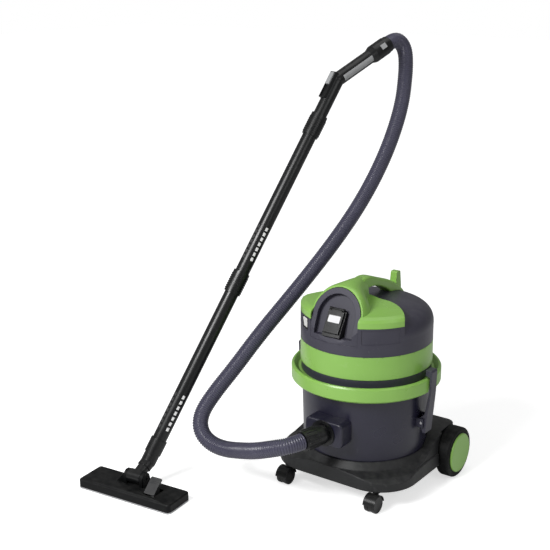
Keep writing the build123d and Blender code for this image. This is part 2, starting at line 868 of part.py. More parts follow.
def trolley_room(sleeve, sleeve_end):
    """Space under the trolley's skin: below the dish, in the skirt and in the sleeves."""
    low = Pos(0, 0, trolley_foot_z - 30) * extrude(trolley_plan(trolley_wall), 30 + 16)
    ring_r_out = tank_foot_r + gap + 2 * trolley_wall
    skirt = trolley_body(trolley_wall) - Pos(0, 0, 100) * Cylinder(ring_r_out, 200)
    room = low + skirt
    for side in (-1, 1):
        room -= Pos(side * caster_x, caster_y + caster_trail, trolley_foot_z) * Cylinder(caster_pod_r, 60)
        well_x = side * (sleeve_end - trolley_wall)
        room -= rod((well_x, wheel_y, wheel_r), (side * 260, wheel_y, wheel_r), wheel_r + 9)
    room -= sleeve + mirrored(sleeve)
    for side in (-1, 1):
        inner_x = side * (sleeve_inner_x + 4)
        outer_x = side * (sleeve_end - 6)
        pocket = rod((inner_x, wheel_y, wheel_r), (outer_x, wheel_y, wheel_r), sleeve_r - 5)
        room += pocket & block(-260, 260, 0, 260, 0, tank_foot_z - 6)
    return room - rod((-200, wheel_y, wheel_r), (200, wheel_y, wheel_r), axle_r + 5)


def make_rear_axle():
    """Steel axle through the trolley."""
    end = wheel_face_x - cap_t - 6
    return rod((-end, wheel_y, wheel_r), (end, wheel_y, wheel_r), axle_r)


def make_tyre():
    """Tyre of the +X rear wheel."""
    outer = wheel_face_x - cap_t
    x0, x1 = outer - tyre_w, outer
    body = rod((x0, wheel_y, wheel_r), (x1, wheel_y, wheel_r), wheel_r)
    body = fillet(body.edges(), 6)
    return body - rod((x0 - 1, wheel_y, wheel_r), (x1 + 1, wheel_y, wheel_r), hub_r)


def make_hub():
    """Wheel centre of the +X rear wheel."""
    outer = wheel_face_x - cap_t
    x0 = outer - tyre_w
    body = rod((x0 + 3, wheel_y, wheel_r), (outer, wheel_y, wheel_r), hub_r)
    body -= rod((x0, wheel_y, wheel_r), (outer - 14, wheel_y, wheel_r), hub_r - 5)
    body += rod((x0 + 1, wheel_y, wheel_r), (outer - 4, wheel_y, wheel_r), axle_r + 7)
    return body - rod((x0, wheel_y, wheel_r), (wheel_face_x - cap_t - 5, wheel_y, wheel_r), axle_r + fit)


def make_cap():
    """Green cover disc of the +X rear wheel."""
    outer = wheel_face_x - cap_t
    body = rod((outer, wheel_y, wheel_r), (wheel_face_x, wheel_y, wheel_r), cap_r)
    return fillet(body.faces().sort_by(Axis.X)[-1].edges(), 3)


def make_caster_fork():
    """Hood, web and stem of the +X caster."""
    reach = caster_web / 2 + caster_wheel_w + 1.2
    hood_r = caster_wheel_r + 2.4
    at = (caster_y, caster_wheel_r)
    shell = rod((caster_x - reach, *at), (caster_x + reach, *at), hood_r)
    shell -= rod((caster_x - reach - 1, *at), (caster_x + reach + 1, *at), caster_wheel_r + 0.9)
    shell &= block(caster_x - 40, caster_x + 40, caster_y - 40, caster_y + 40, caster_wheel_r + 2, 60)
    half = caster_web / 2 - gap
    web = rod((caster_x - half, *at), (caster_x + half, *at), caster_wheel_r - 1)
    top = caster_wheel_r + 20
    web += block(caster_x - half, caster_x + half, caster_y - 6, caster_y + 20, caster_wheel_r, top)
    stem_y = caster_y + caster_trail
    base = Pos(caster_x, stem_y, trolley_foot_z - 2.6) * Cylinder(10, 3.6)
    stem_top = trolley_foot_z + caster_stem_l
    stem = rod((caster_x, stem_y, trolley_foot_z - 8), (caster_x, stem_y, stem_top), caster_stem_r)
    stem -= rod((caster_x - reach, *at), (caster_x + reach, *at), caster_wheel_r + 0.9)
    fork = shell + web + base + stem
    return fork - rod((caster_x - 40, *at), (caster_x + 40, *at), caster_axle_r + fit)


def make_caster_wheels():
    """Pair of wheels of the +X caster on their axle."""
    reach = caster_web / 2 + caster_wheel_w
    at = (caster_y, caster_wheel_r)
    wheels = [rod((caster_x - reach, *at), (caster_x + reach, *at), caster_axle_r).solid()]
    for side in (-1, 1):
        near = caster_x + side * (caster_web / 2 + 0.3)
        far = caster_x + side * (caster_web / 2 + caster_wheel_w)
        low, high = min(near, far), max(near, far)
        wheel = fillet(rod((low, *at), (high, *at), caster_wheel_r).edges(), 2)
        wheels.append((wheel - rod((low - 1, *at), (high + 1, *at), caster_axle_r)).solid())
    return Compound(children=wheels)


# ---- wand ---------------------------------------------------------------------------------------
flat_dir = Vector(wand_dir.X, wand_dir.Y, 0).normalized()
side_dir = flat_dir.cross(up)
crest_dir = side_dir.cross(wand_dir).normalized()
grip_dir = flat_dir * math.cos(math.radians(grip_rise)) + up * math.sin(math.radians(grip_rise))


def on_wand(s):
    """Point on the wand's axis, a way up from its foot."""
    return wand_foot + wand_dir * s


def on_grip(s):
    """Point on the grip's axis, a way out from the bend."""
    return on_wand(grip_bend_s) + grip_dir * s


lower_top = tube_len - 20
cuff_1 = lower_top - 22
upper_top = lower_top + tube_len - tube_overlap + 5
cuff_2 = upper_top - 22
grip_bend_s = upper_top + grip_stem_l
housing_mid = grip_bend_s - housing_back
slide_mid = housing_mid + (housing_l - 6 - slide_l) / 2 - 0.5


def make_tube(s0, s1):
    """One plain tube of the wand."""
    return pipe(on_wand(s0), on_wand(s1), tube_r, tube_r - tube_wall)


def make_tube_cuff(s0):
    """Ribbed coupling sleeve at a tube's top."""
    cuff = pipe(on_wand(s0), on_wand(s0 + tube_cuff_l), tube_cuff_r - 1.2, tube_r + fit)
    for k in range(8):
        s = s0 + 6 + k * 5.6
        cuff += pipe(on_wand(s), on_wand(s + 2.6), tube_cuff_r, tube_r + fit)
    return cuff


def make_grip():
    """Curved grip: stub, bend, handle and head, with the air slide's housing."""
    stub_foot = cuff_2 + tube_cuff_l - 34
    bend = on_wand(grip_bend_s)
    body = rod(on_wand(stub_foot), bend, stub_r)
    body += Pos(*bend) * Sphere(grip_r)
    body += rod(bend, on_grip(grip_l), grip_r)
    flare = frame_at(on_grip(grip_l - 14), side_dir, grip_dir)
    body += flare * extrude(Circle(grip_r), 14)
    head = frame_at(on_grip(grip_l), side_dir, grip_dir)
    body += loft([flare * Circle(grip_r), head * Circle(grip_head_r)])
    body += rod(on_grip(grip_l), on_grip(grip_l + grip_head_l), grip_head_r)
    body += slide_plane(housing_mid, 8) * extrude(Rectangle(22, housing_l), 14)
    body -= rod(on_wand(stub_foot - 1), bend, stub_r - 3)
    body -= Pos(*bend) * Sphere(stub_r - 3)
    body -= rod(bend, on_grip(grip_l + grip_head_l - cuff_neck_l), stub_r - 3)
    end = grip_l + grip_head_l
    body -= rod(on_grip(end - cuff_neck_l), on_grip(end + 1), cuff_neck_r + fit)
    body -= slide_plane(housing_mid, 19) * extrude(Rectangle(15, housing_l - 6), 9)
    body -= slide_plane(slide_mid, 8) * extrude(Circle(4), 20)
    body -= button_plane(-5) * extrude(Rectangle(button_w + 2 * gap, button_l + 2 * gap), 12)
    return body


def slide_plane(s, out):
    """Plane facing up off the wand's crest."""
    return frame_at(on_wand(s) + crest_dir * out, side_dir, crest_dir)


def button_plane(out):
    """Plane facing out of the grip head, turned up from its side."""
    mid = on_grip(grip_l + grip_head_l - cuff_neck_l - 10)
    turn = math.radians(button_turn)
    away = side_dir * math.cos(turn) + side_dir.cross(grip_dir) * math.sin(turn)
    return frame_at(mid + away * (grip_head_r + out), grip_dir.cross(away), away)


def make_grip_inlay():
    """Pale strips let into both sides of the grip."""
    reach = 112.0
    skin = pipe(on_grip(10), on_grip(reach), grip_r + 1.4, grip_r + 0.05)
    mid = frame_at(on_grip((10 + reach) / 2), grip_dir, side_dir)
    strips = skin & mid * Box(reach + 20, 15, 80)
    return Compound(children=list(strips.solids()))


def make_air_slide():
    """Pale slide over the grip's air port."""
    pad = slide_plane(slide_mid, 19.3) * extrude(Rectangle(14.4, slide_l), 6)
    return pad


def make_hose_button():
    """Pale button that lets the hose go."""
    return button_plane(-2) * extrude(Rectangle(button_w, button_l), 4)


def make_grip_cuff():
    """Swivel cuff of the hose, seated in the grip's head."""
    end = grip_l + grip_head_l
    body = pipe(on_grip(end - cuff_neck_l), on_grip(end), cuff_neck_r, duct_r)
    body += pipe(on_grip(end), on_grip(end + grip_cuff_l), hose_r + 1.5, duct_r)
    return body


# ---- hose -----------------------------------------------------------------------------------------
cuff_bend = Vector(0, boss_y - 14, boss_z)
cuff_dir = Vector(
    -math.sin(math.radians(cuff_yaw)), -math.cos(math.radians(cuff_yaw)), -math.sin(math.radians(cuff_drop))
).normalized()
hose_foot = cuff_bend + cuff_dir * cuff_l
hose_head = on_grip(grip_l + grip_head_l + grip_cuff_l)


def make_tank_cuff():
    """Knurled cuff of the hose, seated in the inlet."""
    body = Pos(*cuff_bend) * Sphere(cuff_r)
    body += rod(cuff_bend, hose_foot, cuff_r)
    body &= block(-200, 200, boss_y - 200, boss_y - 4, 0, 400)
    body += rod((0, boss_y + 34, boss_z), cuff_bend, spigot_r)
    knurl = Part()
    for k in range(16):
        place = frame_at(cuff_bend + cuff_dir * 14, up, cuff_dir)
        knurl += place * (Rot(0, 0, 22.5 * k) * Pos(cuff_r, 0, 0)) * extrude(Circle(2), 30)
    body += knurl
    body -= Pos(*cuff_bend) * Sphere(duct_r)
    body -= rod((0, boss_y + 40, boss_z), cuff_bend, duct_r)
    body -= rod(cuff_bend, hose_foot + cuff_dir, duct_r)
    return body


# Points of the hose between its two cuffs, from the inlet to the grip.
hose_route = [
    (-72, -304, 160),
    (-124, -297, 138),
    (-178, -279, 117),
    (-230, -278, 106),
    (-270, -286, 115),
    (-300, -286, 141),
    (-313, -266, 175),
    (-304, -222, 218),
    (-283, -168, 270),
    (-257, -96, 344),
    (-229, -12, 417),
    (-202, 68, 489),
    (-179, 143, 559),
    (-158, 211, 632),
    (-143, 268, 705),
    (-135, 315, 772),
    (-131, 351, 834),
    (-130, 376, 889),
    (-131, 388, 938),
    (-131, 392, 983),
    (-132, 388, 1018),
    (-137, 374, 1041),
]


def hose_points():
    """All points of the hose's route, its two ends included."""
    start = [hose_foot, hose_foot + cuff_dir * 34]
    end = [hose_head + grip_dir * 25, hose_head]
    return start + [Vector(*p) for p in hose_route] + end


def hose_radii(points):
    """Largest arc that each corner's two runs allow."""
    radii = []
    for a, b, c in zip(points, points[1:], points[2:]):
        before, after = b - a, c - b
        half_turn = math.radians(before.get_angle(after)) / 2
        radii.append(0.45 * min(before.length, after.length) / math.tan(half_turn))
    return radii


def make_hose():
    """Hose as a tube along straight runs joined by tangent arcs."""
    points = hose_points()
    radii = hose_radii(points)
    path = FilletPolyline(*points, radius=radii)
    start = Plane(origin=points[0], z_dir=points[1] - points[0])
    section = start * (Circle(hose_r) - Circle(hose_r - hose_wall))
    tube = sweep(section, path=path)
    print("hose length %.0f, radii %s" % (path.length, [round(r) for r in radii]))
    ring_area = math.pi * (hose_r**2 - (hose_r - hose_wall) ** 2)
    print("hose volume %.0f, section by length %.0f" % (tube.volume, ring_area * path.length))
    return tube


# ---- floor nozzle -----------------------------------------------------------------------------------
nozzle_place = Pos(*nozzle_at) * Rot(0, 0, nozzle_yaw)


def neck_points():
    """Pivot, bend and collar foot of the nozzle's neck, in the machine's frame."""
    pivot = (nozzle_place * Pos(pivot_x, pivot_y, pivot_z)).position
    return pivot, on_wand(-30), on_wand(0)


def make_nozzle_shell():
    """Top shell of the nozzle with the fork's cheeks, their gussets and the raised front."""
    z0 = sole_t
    plan = fillet(Rectangle(nozzle_l, nozzle_d).vertices(), 9)
    shell = Pos(0, 0, z0) * extrude(plan, nozzle_h - z0)
    shell = chamfer(shell.faces().sort_by(Axis.Z)[-1].edges(), 2.5)
    inner = fillet(Rectangle(nozzle_l - 2 * nozzle_wall, nozzle_d - 2 * nozzle_wall).vertices(), 6)
    shell -= Pos(0, 0, z0 - 1) * extrude(inner, nozzle_h - nozzle_wall - z0 + 1)
    front = 2.8 - nozzle_d / 2
    plate = [(-122, front), (122, front), (78, -33), (51, -25), (25, -12)]
    plate += [(-44, -11), (-52, -22), (-76, -31)]
    raised = Pos(0, 0, nozzle_h - 1) * extrude(make_face(Polyline(*plate, close=True)), 1 + nozzle_rise)
    shell += chamfer(raised.faces().sort_by(Axis.Z)[-1].edges(), nozzle_rise - 0.6)
    for side in (-1, 1):
        near = barrel_half + gap
        x = pivot_x + side * (near + cheek_t / 2)
        cheek = Pos(x, pivot_y, (nozzle_h + pivot_z) / 2 - 2) * Box(cheek_t, 32, pivot_z - nozzle_h + 4)
        cheek += Pos(x, pivot_y, pivot_z) * (Rot(0, 90, 0) * Cylinder(16, cheek_t))
        far = near + (34 if side < 0 else 20)
        gusset = Polyline(
            (pivot_x + side * near, nozzle_h - 2),
            (pivot_x + side * near, pivot_z + 8),
            (pivot_x + side * (near + cheek_t), pivot_z + 8),
            (pivot_x + side * far, nozzle_h - 2),
            close=True,
        )
        cheek += Pos(0, pivot_y, 0) * extrude(make_face(Plane.XZ * gusset), 13, both=True)
        shell += cheek
    at_pivot = Pos(pivot_x, pivot_y, pivot_z) * Rot(0, 90, 0)
    shell -= at_pivot * Cylinder(barrel_r + 1, 2 * barrel_half + 2 * gap)
    shell -= at_pivot * Cylinder(fork_pin_r, 110)
    for lean in (-nozzle_up, nozzle_down):
        shell -= neck_room(lean)
    shell -= Pos(pedal_x, pedal_y - 3, nozzle_h) * Box(2 * pedal_half + 2, 42, 20)
    shell -= pedal_pin_bore()
    return nozzle_place * shell


def neck_room(lean):
    """Room for the neck with the nozzle pitched by an angle, in the nozzle's own frame."""
    pivot, bend, _ = neck_points()
    run = (bend - pivot).normalized()
    room = rod(pivot, pivot + run * 30, barrel_half - 3) + rod(pivot + run * 29, pivot + run * 90, neck_r)
    about = Pos(pivot_x, pivot_y, pivot_z)
    return about * Rot(lean, 0, 0) * about.inverse() * nozzle_place.inverse() * room


def pedal_pin_bore():
    """Bore for the pedal's stub pins, in the nozzle's own frame."""
    bore = Rot(0, 90, 0) * Cylinder(pedal_pin_r + fit, 2 * pedal_half + 9)
    return Pos(pedal_x, pedal_y, pedal_pin_z) * bore


def make_nozzle_sole():
    """Flat sole with the suction mouth and the two brush slots."""
    plan = fillet(Rectangle(nozzle_l, nozzle_d).vertices(), 9)
    sole = extrude(plan, sole_t)
    sole -= Box(mouth_l, mouth_d, 20)
    for side in (-1, 1):
        sole -= Pos(0, side * brush_y, 0) * Box(brush_len() + 1, brush_d + 1, 20)
    return nozzle_place * sole


def brush_len():
    """Length of one brush strip."""
    return nozzle_l - 34


def make_brushes():
    """Front and rear brush strips, raised into the nozzle."""
    strips = [nozzle_place * Pos(0, side * brush_y, 5.5) * Box(brush_len(), brush_d, 9) for side in (-1, 1)]
    return Compound(children=[strip.solid() for strip in strips])


def make_brush_carrier():
    """Bar that lifts both brush strips."""
    z = 12.0
    frame = Part()
    for side in (-1, 1):
        frame += Pos(0, side * brush_y, z - 0.75) * Box(brush_len(), brush_d + 3, 2.5)
    for x in (-100, 100):
        frame += Pos(x, 0, z - 0.75) * Box(8, 2 * brush_y, 2.5)
    return nozzle_place * frame


def make_fork_pin():
    """Steel pin through the fork and the neck's barrel."""
    reach = barrel_half + gap + cheek_t
    pin = Pos(pivot_x, pivot_y, pivot_z) * (Rot(0, 90, 0) * Cylinder(fork_pin_r, 2 * reach))
    return nozzle_place * pin


def make_pedal():
    """Rocking pedal on two stub pins, its rear end high, that raises and lowers the brushes."""
    plate = Pos(0, 11, 17.5) * Box(2 * pedal_half, pedal_l, 4)
    plate = fillet(plate.edges().filter_by(Axis.Z), 3)
    plate = fillet(plate.faces().sort_by(Axis.Z)[-1].edges(), 1)
    plate += side_prism([(-4.5, -2.5), (4.5, -2.5), (28, 16), (-8, 16)], pedal_half - 2)
    for k in range(3):
        plate += Pos(0, 18 + 5 * k, 19.7) * Box(2 * pedal_half - 10, 1.6, 1)
    plate += Rot(0, 90, 0) * Cylinder(pedal_pin_r, 2 * pedal_half + 8)
    return nozzle_place * Pos(pedal_x, pedal_y, pedal_pin_z) * Rot(pedal_tilt, 0, 0) * plate


def make_neck():
    """Swivel neck between the fork and the lower tube."""
    pivot, bend, foot = neck_points()
    across = (Rot(0, 0, nozzle_yaw) * Pos(1, 0, 0)).position
    run = (bend - pivot).normalized()
    body = rod(pivot - across * barrel_half, pivot + across * barrel_half, barrel_r)
    body += rod(pivot, bend, barrel_half - 4)
    body += rod(pivot + run * 30, bend, neck_r - 1)
    body += Pos(*bend) * Sphere(neck_r)
    body += rod(bend, foot, neck_r)
    body += rod(on_wand(-8), on_wand(collar_l), neck_r + 2)
    body -= rod(on_wand(0), on_wand(collar_l + 1), tube_r + fit)
    body -= rod(bend, on_wand(1), neck_bore_r)
    body -= Pos(*bend) * Sphere(neck_bore_r)
    body -= rod(pivot + run * 8, bend, neck_bore_r - 4)
    return body - rod(pivot - across * 60, pivot + across * 60, fork_pin_r + fit)


# ---- all pieces ------------------------------------------------------------------------------------
def both_sides(name, shape):
    """A +X piece and its twin on the other side."""
    return {name + "_right": shape, name + "_left": mirrored(shape)}


def pieces():
    """Every piece by its node name."""
    parts = {
        "trolley_base": make_trolley(),
        "rear_axle": make_rear_axle(),
        "tank": make_tank(),
        "tank_bosses": make_tank_bosses(),
        "latch_pins": make_latch_pins(),
        "inlet_fitting": make_inlet_fitting(),
        "inlet_deflector": make_deflector(),
        "hose_tank_cuff": make_tank_cuff(),
        "hose": make_hose(),
        "hose_grip_cuff": make_grip_cuff(),
        "grip": make_grip(),
        "grip_inlay": make_grip_inlay(),
        "air_slide": make_air_slide(),
        "hose_button": make_hose_button(),
        "upper_tube": make_tube(lower_top + 2, upper_top),
        "upper_tube_cuff": make_tube_cuff(cuff_2),
        "lower_tube": make_tube(0, lower_top),
        "lower_tube_cuff": make_tube_cuff(cuff_1),
        "nozzle_neck": make_neck(),
        "nozzle_shell": make_nozzle_shell(),
        "nozzle_sole": make_nozzle_sole(),
        "fork_pin": make_fork_pin(),
        "pedal": make_pedal(),
        "brush_strips": make_brushes(),
        "brush_carrier": make_brush_carrier(),
        "bumper_rim": make_bumper_rim(),
        "tank_seal": make_tank_seal(),
        "motor_plate": make_motor_plate(),
        "head_screws": make_head_screws(),
        "head_band": make_head_band(),
        "head_ring": make_head_ring(),
        "head_cover": make_head_cover(),
        "arch_panel": make_arch_panel(),
        "handle_shell": make_handle_shell(),
        "socket_box": make_socket_box(),
        "socket_insert": make_socket_insert(),
        "socket_flap": make_flap(),
        "switch_bezel": make_switch_bezel(),
        "switch_rocker": make_rocker(),
        "cable_gland": make_cable_gland(),
        "motor_housing": make_motor_housing(),
        "motor": make_motor(),
        "motor_shaft": make_motor_shaft(),
        "fan": make_fan(),
        "filter_cage": make_filter_cage(),
        "filter": make_filter(),
        "filter_clamp": make_filter_clamp(),
        "float": make_float(),
    }
    parts |= both_sides("latch", make_latch())
    parts |= both_sides("rear_tyre", make_tyre())
    parts |= both_sides("rear_hub", make_hub())
    parts |= both_sides("rear_cap", make_cap())
    parts |= both_sides("caster_fork", make_caster_fork())
    parts |= both_sides("caster_wheels", make_caster_wheels())
    return parts


os.makedirs("parts", exist_ok=True)
for node, shape in pieces().items():
    export_step(shape, "parts/%s.step" % node)
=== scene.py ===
"""Looks of a wet and dry canister vacuum cleaner, dressed round its fixed frame. Metres throughout."""
import logging
import math
from collections.abc import Callable, Sequence
from dataclasses import dataclass
from enum import Enum

import bpy
from mathutils import Matrix, Vector


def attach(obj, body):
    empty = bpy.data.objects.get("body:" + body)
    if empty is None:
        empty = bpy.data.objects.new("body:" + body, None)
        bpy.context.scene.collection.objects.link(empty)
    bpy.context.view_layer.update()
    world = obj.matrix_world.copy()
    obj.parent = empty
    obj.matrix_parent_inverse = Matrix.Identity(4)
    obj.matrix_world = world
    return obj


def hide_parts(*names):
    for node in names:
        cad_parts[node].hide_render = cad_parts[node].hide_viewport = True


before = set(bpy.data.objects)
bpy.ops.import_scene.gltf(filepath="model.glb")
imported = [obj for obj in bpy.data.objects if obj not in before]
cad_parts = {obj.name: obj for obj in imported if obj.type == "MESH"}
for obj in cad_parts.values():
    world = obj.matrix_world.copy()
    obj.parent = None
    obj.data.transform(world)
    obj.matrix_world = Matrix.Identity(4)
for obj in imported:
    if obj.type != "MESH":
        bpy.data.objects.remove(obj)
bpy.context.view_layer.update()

Colour = tuple[float, float, float]
Point = tuple[float, float, float]
log = logging.getLogger("canister")


# ---- shared surface effects ------------------------------------------------------------------------
class Effects:
    """Node groups that several finishes share, each built once."""

    @staticmethod
    def _group(name: str, inputs: dict[str, tuple[str, object]],
               outputs: dict[str, str]) -> bpy.types.ShaderNodeTree:
        """Starts a node group with named sockets.

        Args:
            name: The group's name.
            inputs: Socket name to (kind, default).
            outputs: Socket name to kind.

        Returns:
            The group, with its input and output nodes in place.
        """
        tree = bpy.data.node_groups.new(name, "ShaderNodeTree")
        for label, (kind, default) in inputs.items():
            socket = tree.interface.new_socket(label, in_out="INPUT", socket_type=f"NodeSocket{kind}")
            if default is not None:
                socket.default_value = default
        for label, kind in outputs.items():
            tree.interface.new_socket(label, in_out="OUTPUT", socket_type=f"NodeSocket{kind}")
        tree.nodes.new("NodeGroupInput").name = "in"
        tree.nodes.new("NodeGroupOutput").name = "out"
        return tree

    @staticmethod
    def _noise(tree: bpy.types.ShaderNodeTree, scale: bpy.types.NodeSocket | float, detail: float,
               vector: bpy.types.NodeSocket) -> bpy.types.NodeSocket:
        """Adds a noise texture.

        Args:
            tree: The group it goes in.
            scale: A number, or the socket that gives it.
            detail: Octaves of detail.
            vector: Coordinates of the surface.

        Returns:
            The noise's value, 0 to 1.
        """
        node = tree.nodes.new("ShaderNodeTexNoise")
        node.inputs["Detail"].default_value = detail
        tree.links.new(vector, node.inputs["Vector"])
        if isinstance(scale, float):
            node.inputs["Scale"].default_value = scale
        else:
            tree.links.new(scale, node.inputs["Scale"])
        return node.outputs["Fac"]

    @staticmethod
    def _span(tree: bpy.types.ShaderNodeTree, value: bpy.types.NodeSocket, low: float, high: float,
              to_low: bpy.types.NodeSocket | float = 0.0,
              to_high: bpy.types.NodeSocket | float = 1.0) -> bpy.types.NodeSocket:
        """Maps a value from one span to another, held at its ends.

        Args:
            tree: The group it goes in.
            value: The value to map.
            low: Start of its span.
            high: End of its span.
            to_low: What the start becomes.
            to_high: What the end becomes.

        Returns:
            The mapped value.
        """
        node = tree.nodes.new("ShaderNodeMapRange")
        node.inputs["From Min"].default_value = low
        node.inputs["From Max"].default_value = high
        for name, target in (("To Min", to_low), ("To Max", to_high)):
            if isinstance(target, float):
                node.inputs[name].default_value = target
            else:
                tree.links.new(target, node.inputs[name])
        tree.links.new(value, node.inputs["Value"])
        return node.outputs["Result"]

    @staticmethod
    def _maths(tree: bpy.types.ShaderNodeTree, operation: str, *values: bpy.types.NodeSocket | float,
               ) -> bpy.types.NodeSocket:
        """Adds a maths node.

        Args:
            tree: The group it goes in.
            operation: Blender's name for the operation.
            *values: Its numbers or sockets, in order.

        Returns:
            The result.
        """
        node = tree.nodes.new("ShaderNodeMath")
        node.operation = operation
        for socket, value in zip(node.inputs, values):
            if isinstance(value, float):
                socket.default_value = value
            else:
                tree.links.new(value, socket)
        return node.outputs[0]

    @staticmethod
    def _blend(tree: bpy.types.ShaderNodeTree, factor: bpy.types.NodeSocket, a: bpy.types.NodeSocket,
               b: bpy.types.NodeSocket) -> bpy.types.NodeSocket:
        """Mixes two colours.

        Args:
            tree: The group it goes in.
            factor: Share of the second colour.
            a: First colour.
            b: Second colour.

        Returns:
            The mixed colour.
        """
        node = tree.nodes.new("ShaderNodeMix")
        node.data_type = "RGBA"
        tree.links.new(factor, node.inputs[0])
        tree.links.new(a, node.inputs[6])
        tree.links.new(b, node.inputs[7])
        return node.outputs[2]

    @classmethod
    def _built(cls, name: str, make: Callable[[], bpy.types.ShaderNodeTree]) -> bpy.types.ShaderNodeTree:
        """The group of that name, made on its first use."""
        return bpy.data.node_groups.get(name) or make()

    @classmethod
    def grain(cls) -> bpy.types.ShaderNodeTree:
        """Moulded plastic: flow shading in patches and a fine spark-eroded grain."""
        return cls._built("moulded_grain", cls._make_grain)

    @classmethod
    def _make_grain(cls) -> bpy.types.ShaderNodeTree:
        """Builds the moulded grain."""
        tree = cls._group(
            "moulded_grain",
            {"Vector": ("Vector", None), "Base": ("Color", None), "Shade": ("Color", None),
             "Grain Scale": ("Float", 900.0), "Patch Scale": ("Float", 14.0),
             "Rough Low": ("Float", 0.4), "Rough High": ("Float", 0.5)},
            {"Color": "Color", "Roughness": "Float", "Height": "Float"},
        )
        given, out = tree.nodes["in"].outputs, tree.nodes["out"].inputs
        patch = cls._noise(tree, given["Patch Scale"], 3.0, given["Vector"])
        fine = cls._noise(tree, given["Grain Scale"], 2.0, given["Vector"])
        cell = tree.nodes.new("ShaderNodeTexVoronoi")
        tree.links.new(given["Vector"], cell.inputs["Vector"])
        tree.links.new(given["Grain Scale"], cell.inputs["Scale"])
        pits = cls._maths(tree, "MULTIPLY", cell.outputs["Distance"], 0.6)
        share = cls._span(tree, patch, 0.35, 0.7)
        speck = cls._maths(tree, "MULTIPLY", fine, 0.25)
        shading = cls._maths(tree, "ADD", share, speck)
        rough = cls._span(tree, patch, 0.3, 0.7, given["Rough Low"], given["Rough High"])
        tree.links.new(cls._blend(tree, shading, given["Base"], given["Shade"]), out["Color"])
        tree.links.new(rough, out["Roughness"])
        tree.links.new(cls._maths(tree, "ADD", fine, pits), out["Height"])
        return tree

    @classmethod
    def scuffs(cls) -> bpy.types.ShaderNodeTree:
        """Short pale rubs and hairline scratches from use."""
        return cls._built("use_scuffs", cls._make_scuffs)

    @classmethod
    def _make_scuffs(cls) -> bpy.types.ShaderNodeTree:
        """Builds the scuffs."""
        tree = cls._group(
            "use_scuffs",
            {"Vector": ("Vector", None), "Color": ("Color", None), "Scuff": ("Color", None),
             "Amount": ("Float", 0.2), "Scale": ("Float", 30.0)},
            {"Color": "Color", "Mask": "Float"},
        )
        given, out = tree.nodes["in"].outputs, tree.nodes["out"].inputs
        stretch = tree.nodes.new("ShaderNodeMapping")
        stretch.inputs["Scale"].default_value = (1.0, 9.0, 3.0)
        stretch.inputs["Rotation"].default_value = (0.5, 0.3, 0.8)
        tree.links.new(given["Vector"], stretch.inputs["Vector"])
        lines = cls._span(tree, cls._noise(tree, given["Scale"], 5.0, stretch.outputs["Vector"]), 0.62, 0.72)
        where = cls._span(tree, cls._noise(tree, 9.0, 2.0, given["Vector"]), 0.5, 0.68)
        mask = cls._maths(tree, "MULTIPLY", cls._maths(tree, "MULTIPLY", lines, where), given["Amount"])
        tree.links.new(cls._blend(tree, mask, given["Color"], given["Scuff"]), out["Color"])
        tree.links.new(mask, out["Mask"])
        return tree

    @classmethod
    def dust(cls) -> bpy.types.ShaderNodeTree:
        """Thin dust that settles on whatever faces up."""
        return cls._built("settled_dust", cls._make_dust)

    @classmethod
    def _make_dust(cls) -> bpy.types.ShaderNodeTree:
        """Builds the dust."""
        tree = cls._group(
            "settled_dust",
            {"Vector": ("Vector", None), "Color": ("Color", None), "Dust": ("Color", (0.5, 0.49, 0.47, 1.0)),
             "Amount": ("Float", 0.05)},
            {"Color": "Color", "Mask": "Float"},
        )
        given, out = tree.nodes["in"].outputs, tree.nodes["out"].inputs
        side = tree.nodes.new("ShaderNodeSeparateXYZ")
        tree.links.new(tree.nodes.new("ShaderNodeNewGeometry").outputs["Normal"], side.inputs[0])
        facing = cls._span(tree, side.outputs["Z"], 0.2, 1.0)
        cloud = cls._span(tree, cls._noise(tree, 60.0, 4.0, given["Vector"]), 0.3, 0.75)
        mask = cls._maths(tree, "MULTIPLY", cls._maths(tree, "MULTIPLY", facing, cloud), given["Amount"])
        tree.links.new(cls._blend(tree, mask, given["Color"], given["Dust"]), out["Color"])
        tree.links.new(mask, out["Mask"])
        return tree


